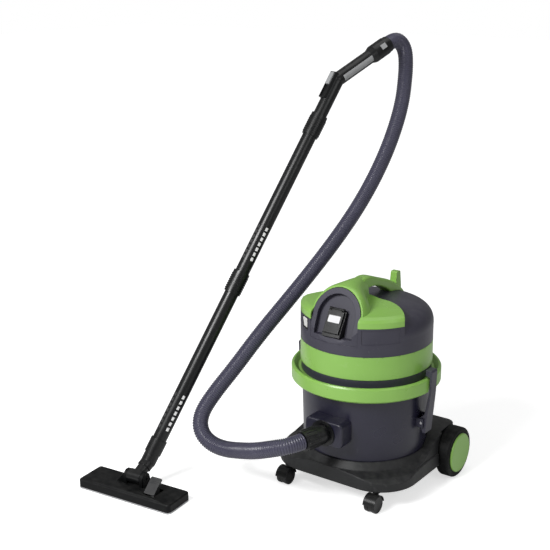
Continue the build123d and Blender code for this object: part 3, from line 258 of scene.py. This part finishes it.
# ---- finishes ----------------------------------------------------------------------------------------
@dataclass(frozen=True)
class Finish:
    """A surface finish: colours, grain and wear of one material."""

    name: str
    base: Colour
    shade: Colour
    rough: tuple[float, float] = (0.4, 0.5)
    grain_scale: float = 900.0
    grain_depth: float = 0.00004
    patch_scale: float = 14.0
    scuff: Colour = (0.3, 0.3, 0.3)
    scuff_amount: float = 0.15
    scuff_scale: float = 30.0
    dust: float = 0.05
    metallic: float = 0.0
    coat: float = 0.0
    coat_rough: float = 0.2
    specular: float = 0.5
    edge: float = 0.0008

    def material(self) -> bpy.types.Material:
        """The finish's material, made on its first use.

        Returns:
            A material whose Principled shader is fed by the shared effects.
        """
        made = bpy.data.materials.get(self.name)
        if made:
            return made
        material = bpy.data.materials.new(self.name)
        material.use_nodes = True
        tree = material.node_tree
        links = tree.links
        shader = tree.nodes["Principled BSDF"]
        where = tree.nodes.new("ShaderNodeTexCoord").outputs["Object"]
        grain = self._place(tree, Effects.grain(), {"Base": self.base, "Shade": self.shade,
                            "Grain Scale": self.grain_scale, "Patch Scale": self.patch_scale,
                            "Rough Low": self.rough[0], "Rough High": self.rough[1]})
        rubs = self._place(tree, Effects.scuffs(), {"Scuff": self.scuff, "Amount": self.scuff_amount,
                           "Scale": self.scuff_scale})
        film = self._place(tree, Effects.dust(), {"Amount": self.dust})
        for node in (grain, rubs, film):
            links.new(where, node.inputs["Vector"])
        links.new(grain.outputs["Color"], rubs.inputs["Color"])
        links.new(rubs.outputs["Color"], film.inputs["Color"])
        links.new(film.outputs["Color"], shader.inputs["Base Color"])
        dulled = tree.nodes.new("ShaderNodeMath")
        dulled.operation = "MULTIPLY_ADD"
        dulled.inputs[1].default_value = 0.6
        links.new(rubs.outputs["Mask"], dulled.inputs[0])
        links.new(grain.outputs["Roughness"], dulled.inputs[2])
        links.new(dulled.outputs[0], shader.inputs["Roughness"])
        bump = tree.nodes.new("ShaderNodeBump")
        bump.inputs["Strength"].default_value = 0.6
        bump.inputs["Distance"].default_value = self.grain_depth
        links.new(grain.outputs["Height"], bump.inputs["Height"])
        if self.edge:
            soft = tree.nodes.new("ShaderNodeBevel")
            soft.samples = 4
            soft.inputs["Radius"].default_value = self.edge
            links.new(soft.outputs["Normal"], bump.inputs["Normal"])
        links.new(bump.outputs["Normal"], shader.inputs["Normal"])
        shader.inputs["Metallic"].default_value = self.metallic
        shader.inputs["Coat Weight"].default_value = self.coat
        shader.inputs["Coat Roughness"].default_value = self.coat_rough
        shader.inputs["Specular IOR Level"].default_value = self.specular
        return material

    @staticmethod
    def _place(tree: bpy.types.ShaderNodeTree, group: bpy.types.ShaderNodeTree,
               values: dict[str, Colour | float]) -> bpy.types.ShaderNode:
        """Places an effect in a material with its own values.

        Args:
            tree: The material's nodes.
            group: The effect.
            values: Input name to number or colour.

        Returns:
            The group node.
        """
        node = tree.nodes.new("ShaderNodeGroup")
        node.node_tree = group
        for name, value in values.items():
            node.inputs[name].default_value = (*value, 1.0) if isinstance(value, tuple) else value
        return node


class Look(Enum):
    """Every finish of the machine."""

    GREEN = Finish(
        "lime_finish",
        base=(0.245, 0.475, 0.088), shade=(0.220, 0.440, 0.078), rough=(0.26, 0.36),
        grain_scale=700.0, grain_depth=0.00002, patch_scale=9.0,
        scuff=(0.50, 0.60, 0.38), scuff_amount=0.10, scuff_scale=26.0, dust=0.04,
        coat=0.12, coat_rough=0.3, edge=0.0016,
    )
    COVER = Finish(
        "anthracite_finish",
        base=(0.038, 0.036, 0.055), shade=(0.030, 0.0285, 0.045), rough=(0.34, 0.44),
        grain_scale=800.0, grain_depth=0.00003, patch_scale=10.0,
        scuff=(0.16, 0.16, 0.19), scuff_amount=0.18, scuff_scale=24.0, dust=0.04,
        edge=0.0014,
    )
    TANK = Finish(
        "tank_finish",
        base=(0.0150, 0.0142, 0.031), shade=(0.011, 0.0104, 0.024), rough=(0.26, 0.36),
        grain_scale=650.0, grain_depth=0.00003, patch_scale=8.0,
        scuff=(0.14, 0.14, 0.17), scuff_amount=0.2, scuff_scale=20.0, dust=0.03,
        edge=0.0014,
    )
    TROLLEY = Finish(
        "trolley_finish",
        base=(0.0105, 0.0112, 0.012), shade=(0.0075, 0.008, 0.0088), rough=(0.42, 0.54),
        grain_scale=420.0, grain_depth=0.00008, patch_scale=12.0,
        scuff=(0.10, 0.10, 0.10), scuff_amount=0.25, scuff_scale=22.0, dust=0.05,
        specular=0.42, edge=0.004,
    )
    BLACK = Finish(
        "black_finish",
        base=(0.0042, 0.0045, 0.005), shade=(0.0030, 0.0033, 0.0038), rough=(0.26, 0.36),
        grain_scale=900.0, grain_depth=0.00004, patch_scale=16.0,
        scuff=(0.10, 0.10, 0.10), scuff_amount=0.2, scuff_scale=40.0, dust=0.04,
        specular=0.42,
    )
    NOZZLE = Finish(
        "nozzle_finish",
        base=(0.0032, 0.0036, 0.004), shade=(0.0024, 0.0027, 0.003), rough=(0.42, 0.52),
        grain_scale=700.0, grain_depth=0.00003, patch_scale=16.0,
        scuff=(0.09, 0.09, 0.09), scuff_amount=0.2, scuff_scale=30.0, dust=0.03,
        specular=0.16, edge=0.0014,
    )
    TUBE = Finish(
        "tube_finish",
        base=(0.0070, 0.0074, 0.0080), shade=(0.0045, 0.0048, 0.0054), rough=(0.26, 0.36),
        grain_scale=900.0, grain_depth=0.00002, patch_scale=20.0,
        scuff=(0.11, 0.11, 0.11), scuff_amount=0.25, scuff_scale=45.0, dust=0.02,
        specular=0.4,
    )
    PEDAL = Finish(
        "pedal_finish",
        base=(0.016, 0.0165, 0.018), shade=(0.012, 0.0125, 0.014), rough=(0.45, 0.55),
        grain_scale=900.0, grain_depth=0.00005, patch_scale=20.0,
        scuff=(0.12, 0.12, 0.12), scuff_amount=0.3, scuff_scale=60.0, dust=0.04,
    )
    HOSE = Finish(
        "ribbed_finish",
        base=(0.060, 0.058, 0.092), shade=(0.048, 0.046, 0.076), rough=(0.26, 0.36),
        grain_scale=1200.0, grain_depth=0.00002, patch_scale=18.0,
        scuff=(0.12, 0.12, 0.15), scuff_amount=0.1, scuff_scale=50.0, dust=0.02,
        edge=0.0,
    )
    PALE = Finish(
        "pale_finish",
        base=(0.34, 0.345, 0.35), shade=(0.29, 0.295, 0.30), rough=(0.38, 0.48),
        grain_scale=1000.0, grain_depth=0.00003, patch_scale=30.0,
        scuff=(0.5, 0.5, 0.5), scuff_amount=0.12, scuff_scale=60.0, dust=0.03,
    )
    WHITE = Finish(
        "white_finish",
        base=(0.72, 0.72, 0.70), shade=(0.66, 0.66, 0.64), rough=(0.3, 0.4),
        grain_scale=1000.0, grain_depth=0.00002, patch_scale=30.0,
        scuff=(0.5, 0.5, 0.48), scuff_amount=0.1, scuff_scale=60.0, dust=0.02,
    )
    RUBBER = Finish(
        "tyre_finish",
        base=(0.0030, 0.0034, 0.0036), shade=(0.0020, 0.0023, 0.0026), rough=(0.55, 0.7),
        grain_scale=500.0, grain_depth=0.00008, patch_scale=20.0,
        scuff=(0.03, 0.029, 0.028), scuff_amount=0.35, scuff_scale=40.0, dust=0.05,
        specular=0.2, edge=0.002,
    )
    SEAL = Finish(
        "seal_finish",
        base=(0.008, 0.008, 0.008), shade=(0.006, 0.006, 0.006), rough=(0.55, 0.7),
        grain_scale=800.0, grain_depth=0.00003, patch_scale=20.0,
    )
    STEEL = Finish(
        "turned_finish",
        base=(0.55, 0.55, 0.56), shade=(0.45, 0.45, 0.46), rough=(0.22, 0.34),
        grain_scale=1400.0, grain_depth=0.00001, patch_scale=60.0,
        scuff=(0.7, 0.7, 0.7), scuff_amount=0.3, scuff_scale=80.0, dust=0.02,
        metallic=1.0,
    )
    CAST = Finish(
        "cast_finish",
        base=(0.5, 0.5, 0.51), shade=(0.42, 0.42, 0.43), rough=(0.4, 0.55),
        grain_scale=600.0, grain_depth=0.00008, patch_scale=40.0,
        scuff=(0.7, 0.7, 0.7), scuff_amount=0.2, scuff_scale=60.0, dust=0.03,
        metallic=1.0,
    )
    PAPER = Finish(
        "filter_finish",
        base=(0.72, 0.69, 0.60), shade=(0.6, 0.57, 0.49), rough=(0.8, 0.9),
        grain_scale=1500.0, grain_depth=0.00012, patch_scale=25.0,
        scuff=(0.4, 0.36, 0.3), scuff_amount=0.3, scuff_scale=30.0, dust=0.1,
        edge=0.0,
    )
    BRISTLE = Finish(
        "brush_finish",
        base=(0.014, 0.014, 0.015), shade=(0.03, 0.03, 0.032), rough=(0.6, 0.8),
        grain_scale=2500.0, grain_depth=0.0003, patch_scale=400.0,
        scuff=(0.1, 0.1, 0.1), scuff_amount=0.2, scuff_scale=200.0, dust=0.05,
        edge=0.0,
    )
    BLANK = Finish(
        "blank_finish",
        base=(0.70, 0.70, 0.71), shade=(0.64, 0.64, 0.65), rough=(0.35, 0.45),
        grain_scale=1500.0, grain_depth=0.00001, patch_scale=30.0,
        scuff=(0.6, 0.6, 0.6), scuff_amount=0.1, scuff_scale=80.0, dust=0.0,
        edge=0.0,
    )
    # Near-white on the tubes' flat facets: a painted highlight, the soft box's reflection in the glossy
    # facets.
    PAINTED_BRIGHT_HIGHLIGHT = Finish(
        "painted_bright_highlight_finish",
        base=(0.88, 0.88, 0.88), shade=(0.80, 0.80, 0.80), rough=(0.35, 0.45),
        grain_scale=1500.0, grain_depth=0.00001, patch_scale=30.0,
        scuff=(0.7, 0.7, 0.7), scuff_amount=0.1, scuff_scale=80.0, dust=0.0,
        edge=0.0,
    )
    # Grey on a second row of facets further round the tube: a painted dimmer highlight.
    PAINTED_DIM_HIGHLIGHT = Finish(
        "painted_dim_highlight_finish",
        base=(0.055, 0.055, 0.055), shade=(0.035, 0.035, 0.035), rough=(0.35, 0.45),
        grain_scale=1500.0, grain_depth=0.00001, patch_scale=30.0,
        scuff=(0.2, 0.2, 0.2), scuff_amount=0.1, scuff_scale=80.0, dust=0.0,
        edge=0.0,
    )


# ---- making pieces ------------------------------------------------------------------------------------
class Maker:
    """Turns points and faces into pieces that ride on a body."""

    @staticmethod
    def piece(name: str, verts: Sequence[Vector], faces: Sequence[Sequence[int]], look: Look, body: str,
              slot: str, smooth: bool = True) -> bpy.types.Object:
        """Makes one mesh piece.

        Args:
            name: The piece's name.
            verts: Its points in the row frame.
            faces: Its faces as indices.
            look: Its finish.
            body: The CAD body it rides on.
            slot: Not used.
            smooth: Whether its faces are shaded smooth.

        Returns:
            The object, riding on its body.
        """
        mesh = bpy.data.meshes.new(name)
        mesh.from_pydata([tuple(v) for v in verts], [], [tuple(f) for f in faces])
        mesh.validate()
        mesh.update()
        if smooth:
            mesh.shade_smooth()
        mesh.materials.append(look.value.material())
        thing = bpy.data.objects.new(name, mesh)
        bpy.context.scene.collection.objects.link(thing)
        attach(thing, body)
        log.info("%s made on %s", name, body)
        return thing

    @staticmethod
    def dress(look: Look, *nodes: str) -> None:
        """Gives CAD nodes a finish.

        Args:
            look: The finish.
            *nodes: Names of the nodes.
        """
        for node in nodes:
            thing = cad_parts[node]
            made = look.value.material()
            if not thing.material_slots:
                thing.data.materials.append(made)
            for place in thing.material_slots:
                place.material = made
            log.info("%s dressed in %s", node, look.name.lower())

    @staticmethod
    def frames(path: Sequence[Vector]) -> list[Matrix]:
        """Frames that travel along a path without twisting.

        Args:
            path: Points of the path.

        Returns:
            For each point a matrix whose columns are two cross directions and the tangent.
        """
        last = len(path) - 1
        tangents = [(path[min(i + 1, last)] - path[max(i - 1, 0)]).normalized() for i in range(len(path))]
        side = tangents[0].orthogonal().normalized()
        made = []
        for tangent in tangents:
            side = (side - tangent * side.dot(tangent)).normalized()
            made.append(Matrix((side, tangent.cross(side), tangent)).transposed())
        return made

    @classmethod
    def loft(cls, rings: Sequence[Sequence[Vector]]) -> tuple[list[Vector], list[list[int]]]:
        """Skins a run of closed rings and closes both ends.

        Args:
            rings: Rings with the same number of points.

        Returns:
            Points and faces.
        """
        count = len(rings[0])
        verts = [v for ring in rings for v in ring]
        faces = []
        for i in range(len(rings) - 1):
            low, high = i * count, (i + 1) * count
            for j in range(count):
                after = (j + 1) % count
                faces.append([low + j, low + after, high + after, high + j])
        faces.append(list(reversed(range(count))))
        faces.append([(len(rings) - 1) * count + j for j in range(count)])
        return verts, faces


# ---- hose ---------------------------------------------------------------------------------------------
@dataclass
class Hose:
    """Ribbed suction hose from the tank's cuff to the grip."""

    diameter: float = 0.040
    groove: float = 0.0015
    pitch: float = 0.0052
    around: int = 26
    rib: tuple[float, ...] = (0.0, 0.55, 1.0, 1.0, 0.55, 0.0)
    foot: Point = (-0.01706, -0.25087, 0.17452)
    lead_in: Point = (-0.02866, -0.28274, 0.17215)
    route: tuple[Point, ...] = (
        (-0.072, -0.304, 0.160),
        (-0.124, -0.297, 0.138),
        (-0.178, -0.279, 0.117),
        (-0.230, -0.278, 0.106),
        (-0.270, -0.286, 0.115),
        (-0.300, -0.286, 0.141),
        (-0.313, -0.266, 0.175),
        (-0.304, -0.222, 0.218),
        (-0.283, -0.168, 0.270),
        (-0.257, -0.096, 0.344),
        (-0.229, -0.012, 0.417),
        (-0.202, 0.068, 0.489),
        (-0.179, 0.143, 0.559),
        (-0.158, 0.211, 0.632),
        (-0.143, 0.268, 0.705),
        (-0.135, 0.315, 0.772),
        (-0.131, 0.351, 0.834),
        (-0.130, 0.376, 0.889),
        (-0.131, 0.388, 0.938),
        (-0.131, 0.392, 0.983),
        (-0.132, 0.388, 1.018),
        (-0.137, 0.374, 1.041),
    )
    lead_out: Point = (-0.14423, 0.35013, 1.05014)
    head: Point = (-0.15152, 0.32888, 1.03918)

    def line(self) -> list[Vector]:
        """Reads the hose's centreline from its spline.

        Returns:
            Closely spaced points from the cuff to the grip.
        """
        points = [self.foot, self.lead_in, *self.route, self.lead_out, self.head]
        curve = bpy.data.curves.new("hose_line", "CURVE")
        curve.dimensions = "3D"
        curve.resolution_u = 16
        spline = curve.splines.new("NURBS")
        spline.points.add(len(points) - 1)
        for knot, place in zip(spline.points, points):
            knot.co = (*place, 1.0)
        spline.order_u = 3
        spline.use_endpoint_u = True
        guide = bpy.data.objects.new("hose_line", curve)
        bpy.context.scene.collection.objects.link(guide)
        mesh = bpy.data.meshes.new_from_object(guide)
        line = [v.co.copy() for v in mesh.vertices]
        bpy.data.meshes.remove(mesh)
        bpy.data.objects.remove(guide)
        bpy.data.curves.remove(curve)
        return line

    @staticmethod
    def evenly(line: Sequence[Vector], step: float) -> tuple[list[Vector], float]:
        """Spaces points evenly along a line.

        Args:
            line: The line's points.
            step: Distance wanted between points.

        Returns:
            The new points and the line's length.
        """
        marks = [0.0]
        for a, b in zip(line, line[1:]):
            marks.append(marks[-1] + (b - a).length)
        total = marks[-1]
        count = round(total / step)
        spaced, k = [], 0
        for i in range(count + 1):
            want = total * i / count
            while k < len(marks) - 2 and marks[k + 1] < want:
                k += 1
            share = (want - marks[k]) / max(marks[k + 1] - marks[k], 1e-9)
            spaced.append(line[k].lerp(line[k + 1], share))
        return spaced, total

    def build(self) -> bpy.types.Object:
        """Returns:
            The hose.
        """
        line = self.line()
        steps = len(self.rib)
        path, length = self.evenly(line, self.pitch / steps)
        outer = self.diameter / 2
        rings = []
        for i, (centre, turn) in enumerate(zip(path, Maker.frames(path))):
            r = outer - self.groove * (1.0 - self.rib[i % steps])
            ring = []
            for j in range(self.around):
                a = 2 * math.pi * j / self.around
                ring.append(centre + turn @ Vector((r * math.cos(a), r * math.sin(a), 0.0)))
            rings.append(ring)
        verts, faces = Maker.loft(rings)
        hose = Maker.piece("ribbed_hose", verts, faces, Look.HOSE, "trolley", "hose_plastic")
        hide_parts("hose")
        Maker.dress(Look.BLACK, "hose_tank_cuff", "hose_grip_cuff")
        return hose


# ---- wand ---------------------------------------------------------------------------------------------
@dataclass
class Wand:
    """Two tubes with rows of facet pads painted bright and dim as highlights, the couplings and the grip."""

    foot: Point = (-0.3879, -0.3601, 0.0921)
    run: Point = (0.1771, 0.5162, 0.8380)
    radius: float = 0.018
    pads: int = 7
    pad: tuple[float, float] = (0.0068, 0.0090)
    pad_columns: int = 5
    pad_proud: float = 0.00025
    pad_sunk: float = 0.0004
    # Angles round the tube of the row with the bright painted highlight and of the row with the dim one.
    bright_highlight_row: float = 10.0
    dim_highlight_row: float = 88.0
    stations: tuple[tuple[float, float], ...] = ((0.057, 0.0145), (0.525, 0.0138))

    def axes(self) -> tuple[Vector, Vector, Vector]:
        """Cross directions and direction of the wand.

        Returns:
            Side, crest and run, all of unit length.
        """
        run = Vector(self.run).normalized()
        flat = Vector((run.x, run.y, 0.0)).normalized()
        side = flat.cross(Vector((0.0, 0.0, 1.0)))
        return side, side.cross(run), run

    def build(self) -> list[bpy.types.Object]:
        """Makes the facet pads, painted as highlights, and dresses the tubes.

        Returns:
            The bright and dim painted-highlight pads of each tube.
        """
        side, crest, run = self.axes()
        made = []
        for number, (start, pitch) in enumerate(self.stations, 1):
            # Each pad hugs a real flat facet of the tube; its colour is a painted highlight, bright on one
            # row and dim on the other.
            for name, row, look in (("bright_highlight_pads", self.bright_highlight_row, Look.PAINTED_BRIGHT_HIGHLIGHT),
                                    ("dim_highlight_pads", self.dim_highlight_row, Look.PAINTED_DIM_HIGHLIGHT)):
                verts: list[Vector] = []
                faces: list[list[int]] = []
                for k in range(self.pads):
                    self._add_pad(verts, faces, start + k * pitch, math.radians(row), (side, crest, run))
                made.append(Maker.piece(f"{name}_{number}", verts, faces, look, "trolley", "pale_plastic",
                                        smooth=False))
        Maker.dress(Look.TUBE, "upper_tube", "lower_tube")
        Maker.dress(Look.BLACK, "upper_tube_cuff", "lower_tube_cuff", "grip", "nozzle_neck")
        Maker.dress(Look.PALE, "grip_inlay", "air_slide", "hose_button")
        return made

    def _add_pad(self, verts: list[Vector], faces: list[list[int]], station: float, angle: float,
                 axes: tuple[Vector, Vector, Vector]) -> None:
        """Adds one pad that hugs the tube.

        Args:
            verts: Points so far.
            faces: Faces so far.
            station: Distance up the wand.
            angle: Place round the tube from its camera side.
            axes: Side, crest and run.
        """
        side, crest, run = axes
        width, length = self.pad
        half = width / 2 / self.radius
        start = len(verts)
        columns = self.pad_columns
        for lift in (self.pad_proud, -self.pad_sunk):
            for end in (0.0, length):
                for i in range(columns):
                    a = angle - half + 2 * half * i / (columns - 1)
                    out = side * math.cos(a) + crest * math.sin(a)
                    verts.append(Vector(self.foot) + run * (station + end) + out * (self.radius + lift))
        for i in range(columns - 1):
            faces.append([start + i, start + i + 1, start + columns + i + 1, start + columns + i])
        low = start + 2 * columns
        for a, b in ((0, columns - 1), (columns, 2 * columns - 1)):
            faces.append([start + a, low + a, low + b, start + b])


# ---- sub-assemblies that keep their frame shapes ----------------------------------------------------------
@dataclass
class Head:
    """Suction head: cover, green mouldings, outlet, switch and the unit inside."""

    top: Point = (0.0, -0.129, 0.466)
    foot: Point = (0.0, -0.163, 0.411)
    face_out: float = 0.00576
    label: tuple[float, float, float] = (0.0320, 0.0170, 0.0230)
    label_t: float = 0.0004
    corner_r: float = 0.0018
    corner_steps: int = 4

    def build(self) -> None:
        """Dresses the head and sticks the blank label on the flap."""
        self._label()
        Maker.dress(Look.GREEN, "bumper_rim", "head_ring", "handle_shell")
        Maker.dress(Look.COVER, "head_cover", "arch_panel", "head_band", "motor_plate", "motor_housing")
        Maker.dress(Look.BLACK, "socket_box", "socket_insert", "socket_flap", "switch_bezel", "cable_gland",
                    "filter_cage", "filter_clamp")
        Maker.dress(Look.WHITE, "switch_rocker", "float")
        Maker.dress(Look.SEAL, "tank_seal")
        Maker.dress(Look.STEEL, "head_screws", "motor_shaft")
        Maker.dress(Look.CAST, "motor", "fan")
        Maker.dress(Look.PAPER, "filter")

    def _label(self) -> bpy.types.Object:
        """Makes the blank label on the upper half of the socket's flap.

        Returns:
            The label, riding on the flap.
        """
        width, height, drop = self.label
        down = (Vector(self.foot) - Vector(self.top)).normalized()
        out = Vector((0.0, down.z, -down.y))
        corner, steps = self.corner_r, self.corner_steps
        middle = Vector(self.top) + down * drop + out * self.face_out
        ring = []
        for cx, cy, start in ((1, 1, 0), (-1, 1, 90), (-1, -1, 180), (1, -1, 270)):
            for k in range(steps + 1):
                a = math.radians(start + 90 * k / steps)
                x = cx * (width / 2 - corner) + corner * math.cos(a)
                y = cy * (height / 2 - corner) + corner * math.sin(a)
                ring.append(middle + Vector((x, 0.0, 0.0)) - down * y)
        lifted = [p + out * self.label_t for p in ring]
        verts, faces = Maker.loft([ring, lifted])
        return Maker.piece("flap_label", verts, faces, Look.BLANK, "socket_flap", "white_plastic",
                           smooth=False)


@dataclass
class Tank:
    """Tank with its inlet and latches."""

    def build(self) -> None:
        """Dresses the tank."""
        Maker.dress(Look.TANK, "tank", "tank_bosses")
        Maker.dress(Look.BLACK, "inlet_fitting", "inlet_deflector")
        Maker.dress(Look.COVER, "latch_left", "latch_right")
        Maker.dress(Look.STEEL, "latch_pins")


@dataclass
class Trolley:
    """Trolley with its rear wheels and casters."""

    def build(self) -> None:
        """Dresses the trolley."""
        Maker.dress(Look.TROLLEY, "trolley_base")
        Maker.dress(Look.STEEL, "rear_axle")
        for side in ("left", "right"):
            Maker.dress(Look.RUBBER, f"rear_tyre_{side}")
            Maker.dress(Look.BLACK, f"rear_hub_{side}", f"caster_fork_{side}", f"caster_wheels_{side}")
            Maker.dress(Look.GREEN, f"rear_cap_{side}")


@dataclass
class Nozzle:
    """Floor nozzle."""

    def build(self) -> None:
        """Dresses the nozzle."""
        Maker.dress(Look.NOZZLE, "nozzle_shell")
        Maker.dress(Look.STEEL, "nozzle_sole", "fork_pin")
        Maker.dress(Look.BRISTLE, "brush_strips")
        Maker.dress(Look.BLACK, "brush_carrier")
        Maker.dress(Look.PEDAL, "pedal")


# ---- studio ---------------------------------------------------------------------------------------------
@dataclass(frozen=True)
class SoftBox:
    """A rectangular lamp: where it stands, what it points at, its size and its watts."""

    name: str
    spot: Point
    aim: Point
    size: tuple[float, float]
    power: float


@dataclass
class Studio:
    """Camera, soft lights and pale floor."""

    place: Point = (1.2855, -2.1168, 1.2541)
    azimuth: float = 36.4408
    pitch: float = 16.513
    roll: float = -0.4927
    lens: float = 69.88
    sensor: float = 36.0
    reach: float = 14.0
    sky: float = 0.24
    glow_from: tuple[float, float] = (0.8, 0.62)
    glow_to: tuple[float, float] = (4.0, 0.90)
    lamps: tuple[SoftBox, ...] = (
        SoftBox("key_box", (-0.6, -2.6, 2.3), (0.0, 0.0, 0.35), (1.2, 0.9), 92.0),
        SoftBox("fill_box", (2.6, -0.8, 1.8), (0.0, 0.0, 0.3), (1.4, 1.4), 12.0),
        SoftBox("top_box", (0.2, 0.6, 3.2), (0.0, 0.1, 0.3), (1.8, 1.8), 12.0),
    )

    def camera(self) -> bpy.types.Object:
        """Sets the scene's camera.

        Returns:
            The camera.
        """
        az, el, ro = (math.radians(v) for v in (self.azimuth, self.pitch, self.roll))
        ahead = Vector((-math.sin(az) * math.cos(el), math.cos(az) * math.cos(el), -math.sin(el)))
        right = Vector((math.cos(az), math.sin(az), 0.0))
        up = right.cross(ahead)
        across = right * math.cos(ro) + up * math.sin(ro)
        above = up * math.cos(ro) - right * math.sin(ro)
        data = bpy.data.cameras.new("shot")
        data.lens = self.lens
        data.sensor_width = self.sensor
        data.clip_end = 50.0
        thing = bpy.data.objects.new("shot", data)
        turn = Matrix((across, above, -ahead)).transposed().to_4x4()
        thing.matrix_world = Matrix.Translation(self.place) @ turn
        bpy.context.scene.collection.objects.link(thing)
        bpy.context.scene.camera = thing
        return thing

    def build(self) -> None:
        """Makes the camera, floor, sky and lamps."""
        scene = bpy.context.scene
        scene.view_settings.view_transform = "Standard"
        self.camera()
        reach = self.reach
        mesh = bpy.data.meshes.new("floor")
        mesh.from_pydata([(-reach, -reach, 0), (reach, -reach, 0), (reach, reach, 0), (-reach, reach, 0)], [],
                         [(0, 1, 2, 3)])
        mesh.materials.append(self._floor_paint())
        floor = bpy.data.objects.new("floor", mesh)
        scene.collection.objects.link(floor)
        scene.world = self._sky()
        for box in self.lamps:
            self._lamp(box)

    def _floor_paint(self) -> bpy.types.Material:
        """Pale floor that the camera sees almost white, with faint mottling.

        Returns:
            The floor's material.
        """
        pale = bpy.data.materials.new("pale_floor")
        pale.use_nodes = True
        tree = pale.node_tree
        shader = tree.nodes["Principled BSDF"]
        shader.inputs["Roughness"].default_value = 0.7
        shader.inputs["Specular IOR Level"].default_value = 0.1
        noise = tree.nodes.new("ShaderNodeTexNoise")
        noise.inputs["Scale"].default_value = 1.5
        ramp = tree.nodes.new("ShaderNodeValToRGB")
        ramp.color_ramp.elements[0].color = (0.88, 0.88, 0.88, 1.0)
        ramp.color_ramp.elements[1].color = (0.92, 0.92, 0.92, 1.0)
        tree.links.new(noise.outputs["Fac"], ramp.inputs["Fac"])
        tree.links.new(ramp.outputs["Color"], shader.inputs["Base Color"])
        seen = tree.nodes.new("ShaderNodeLightPath").outputs["Is Camera Ray"]
        lift = tree.nodes.new("ShaderNodeMath")
        lift.operation = "MULTIPLY"
        place = tree.nodes.new("ShaderNodeTexCoord").outputs["Object"]
        away = tree.nodes.new("ShaderNodeVectorMath")
        away.operation = "LENGTH"
        tree.links.new(place, away.inputs[0])
        glow = tree.nodes.new("ShaderNodeMapRange")
        glow.inputs["From Min"].default_value, glow.inputs["To Min"].default_value = self.glow_from
        glow.inputs["From Max"].default_value, glow.inputs["To Max"].default_value = self.glow_to
        tree.links.new(away.outputs["Value"], glow.inputs["Value"])
        tree.links.new(seen, lift.inputs[0])
        tree.links.new(glow.outputs["Result"], lift.inputs[1])
        shader.inputs["Emission Color"].default_value = (1.0, 1.0, 1.0, 1.0)
        tree.links.new(lift.outputs[0], shader.inputs["Emission Strength"])
        return pale

    def _sky(self) -> bpy.types.World:
        """White to the camera, softer for light and reflections.

        Returns:
            The world.
        """
        world = bpy.data.worlds.new("soft_sky")
        world.use_nodes = True
        tree = world.node_tree
        back = tree.nodes["Background"]
        back.inputs["Color"].default_value = (1.0, 1.0, 1.0, 1.0)
        lift = tree.nodes.new("ShaderNodeMapRange")
        lift.inputs["To Min"].default_value = self.sky
        lift.inputs["To Max"].default_value = 1.0
        tree.links.new(tree.nodes.new("ShaderNodeLightPath").outputs["Is Camera Ray"], lift.inputs["Value"])
        tree.links.new(lift.outputs["Result"], back.inputs["Strength"])
        return world

    @staticmethod
    def _lamp(box: SoftBox) -> None:
        """Adds one soft box.

        Args:
            box: The lamp.
        """
        data = bpy.data.lights.new(box.name, "AREA")
        data.shape = "RECTANGLE"
        data.size, data.size_y = box.size
        data.energy = box.power
        lamp = bpy.data.objects.new(box.name, data)
        spot = Vector(box.spot)
        turn = (spot - Vector(box.aim)).to_track_quat("Z", "Y").to_matrix().to_4x4()
        lamp.matrix_world = Matrix.Translation(spot) @ turn
        bpy.context.scene.collection.objects.link(lamp)


def main() -> None:
    """Dresses the whole machine, camera and hose first."""
    logging.basicConfig(level=logging.INFO, format="%(name)s: %(message)s")
    for part in (Studio(), Hose(), Wand(), Head(), Tank(), Trolley(), Nozzle()):
        part.build()
        log.info("%s done", type(part).__name__.lower())


if __name__ == "__main__":
    main()
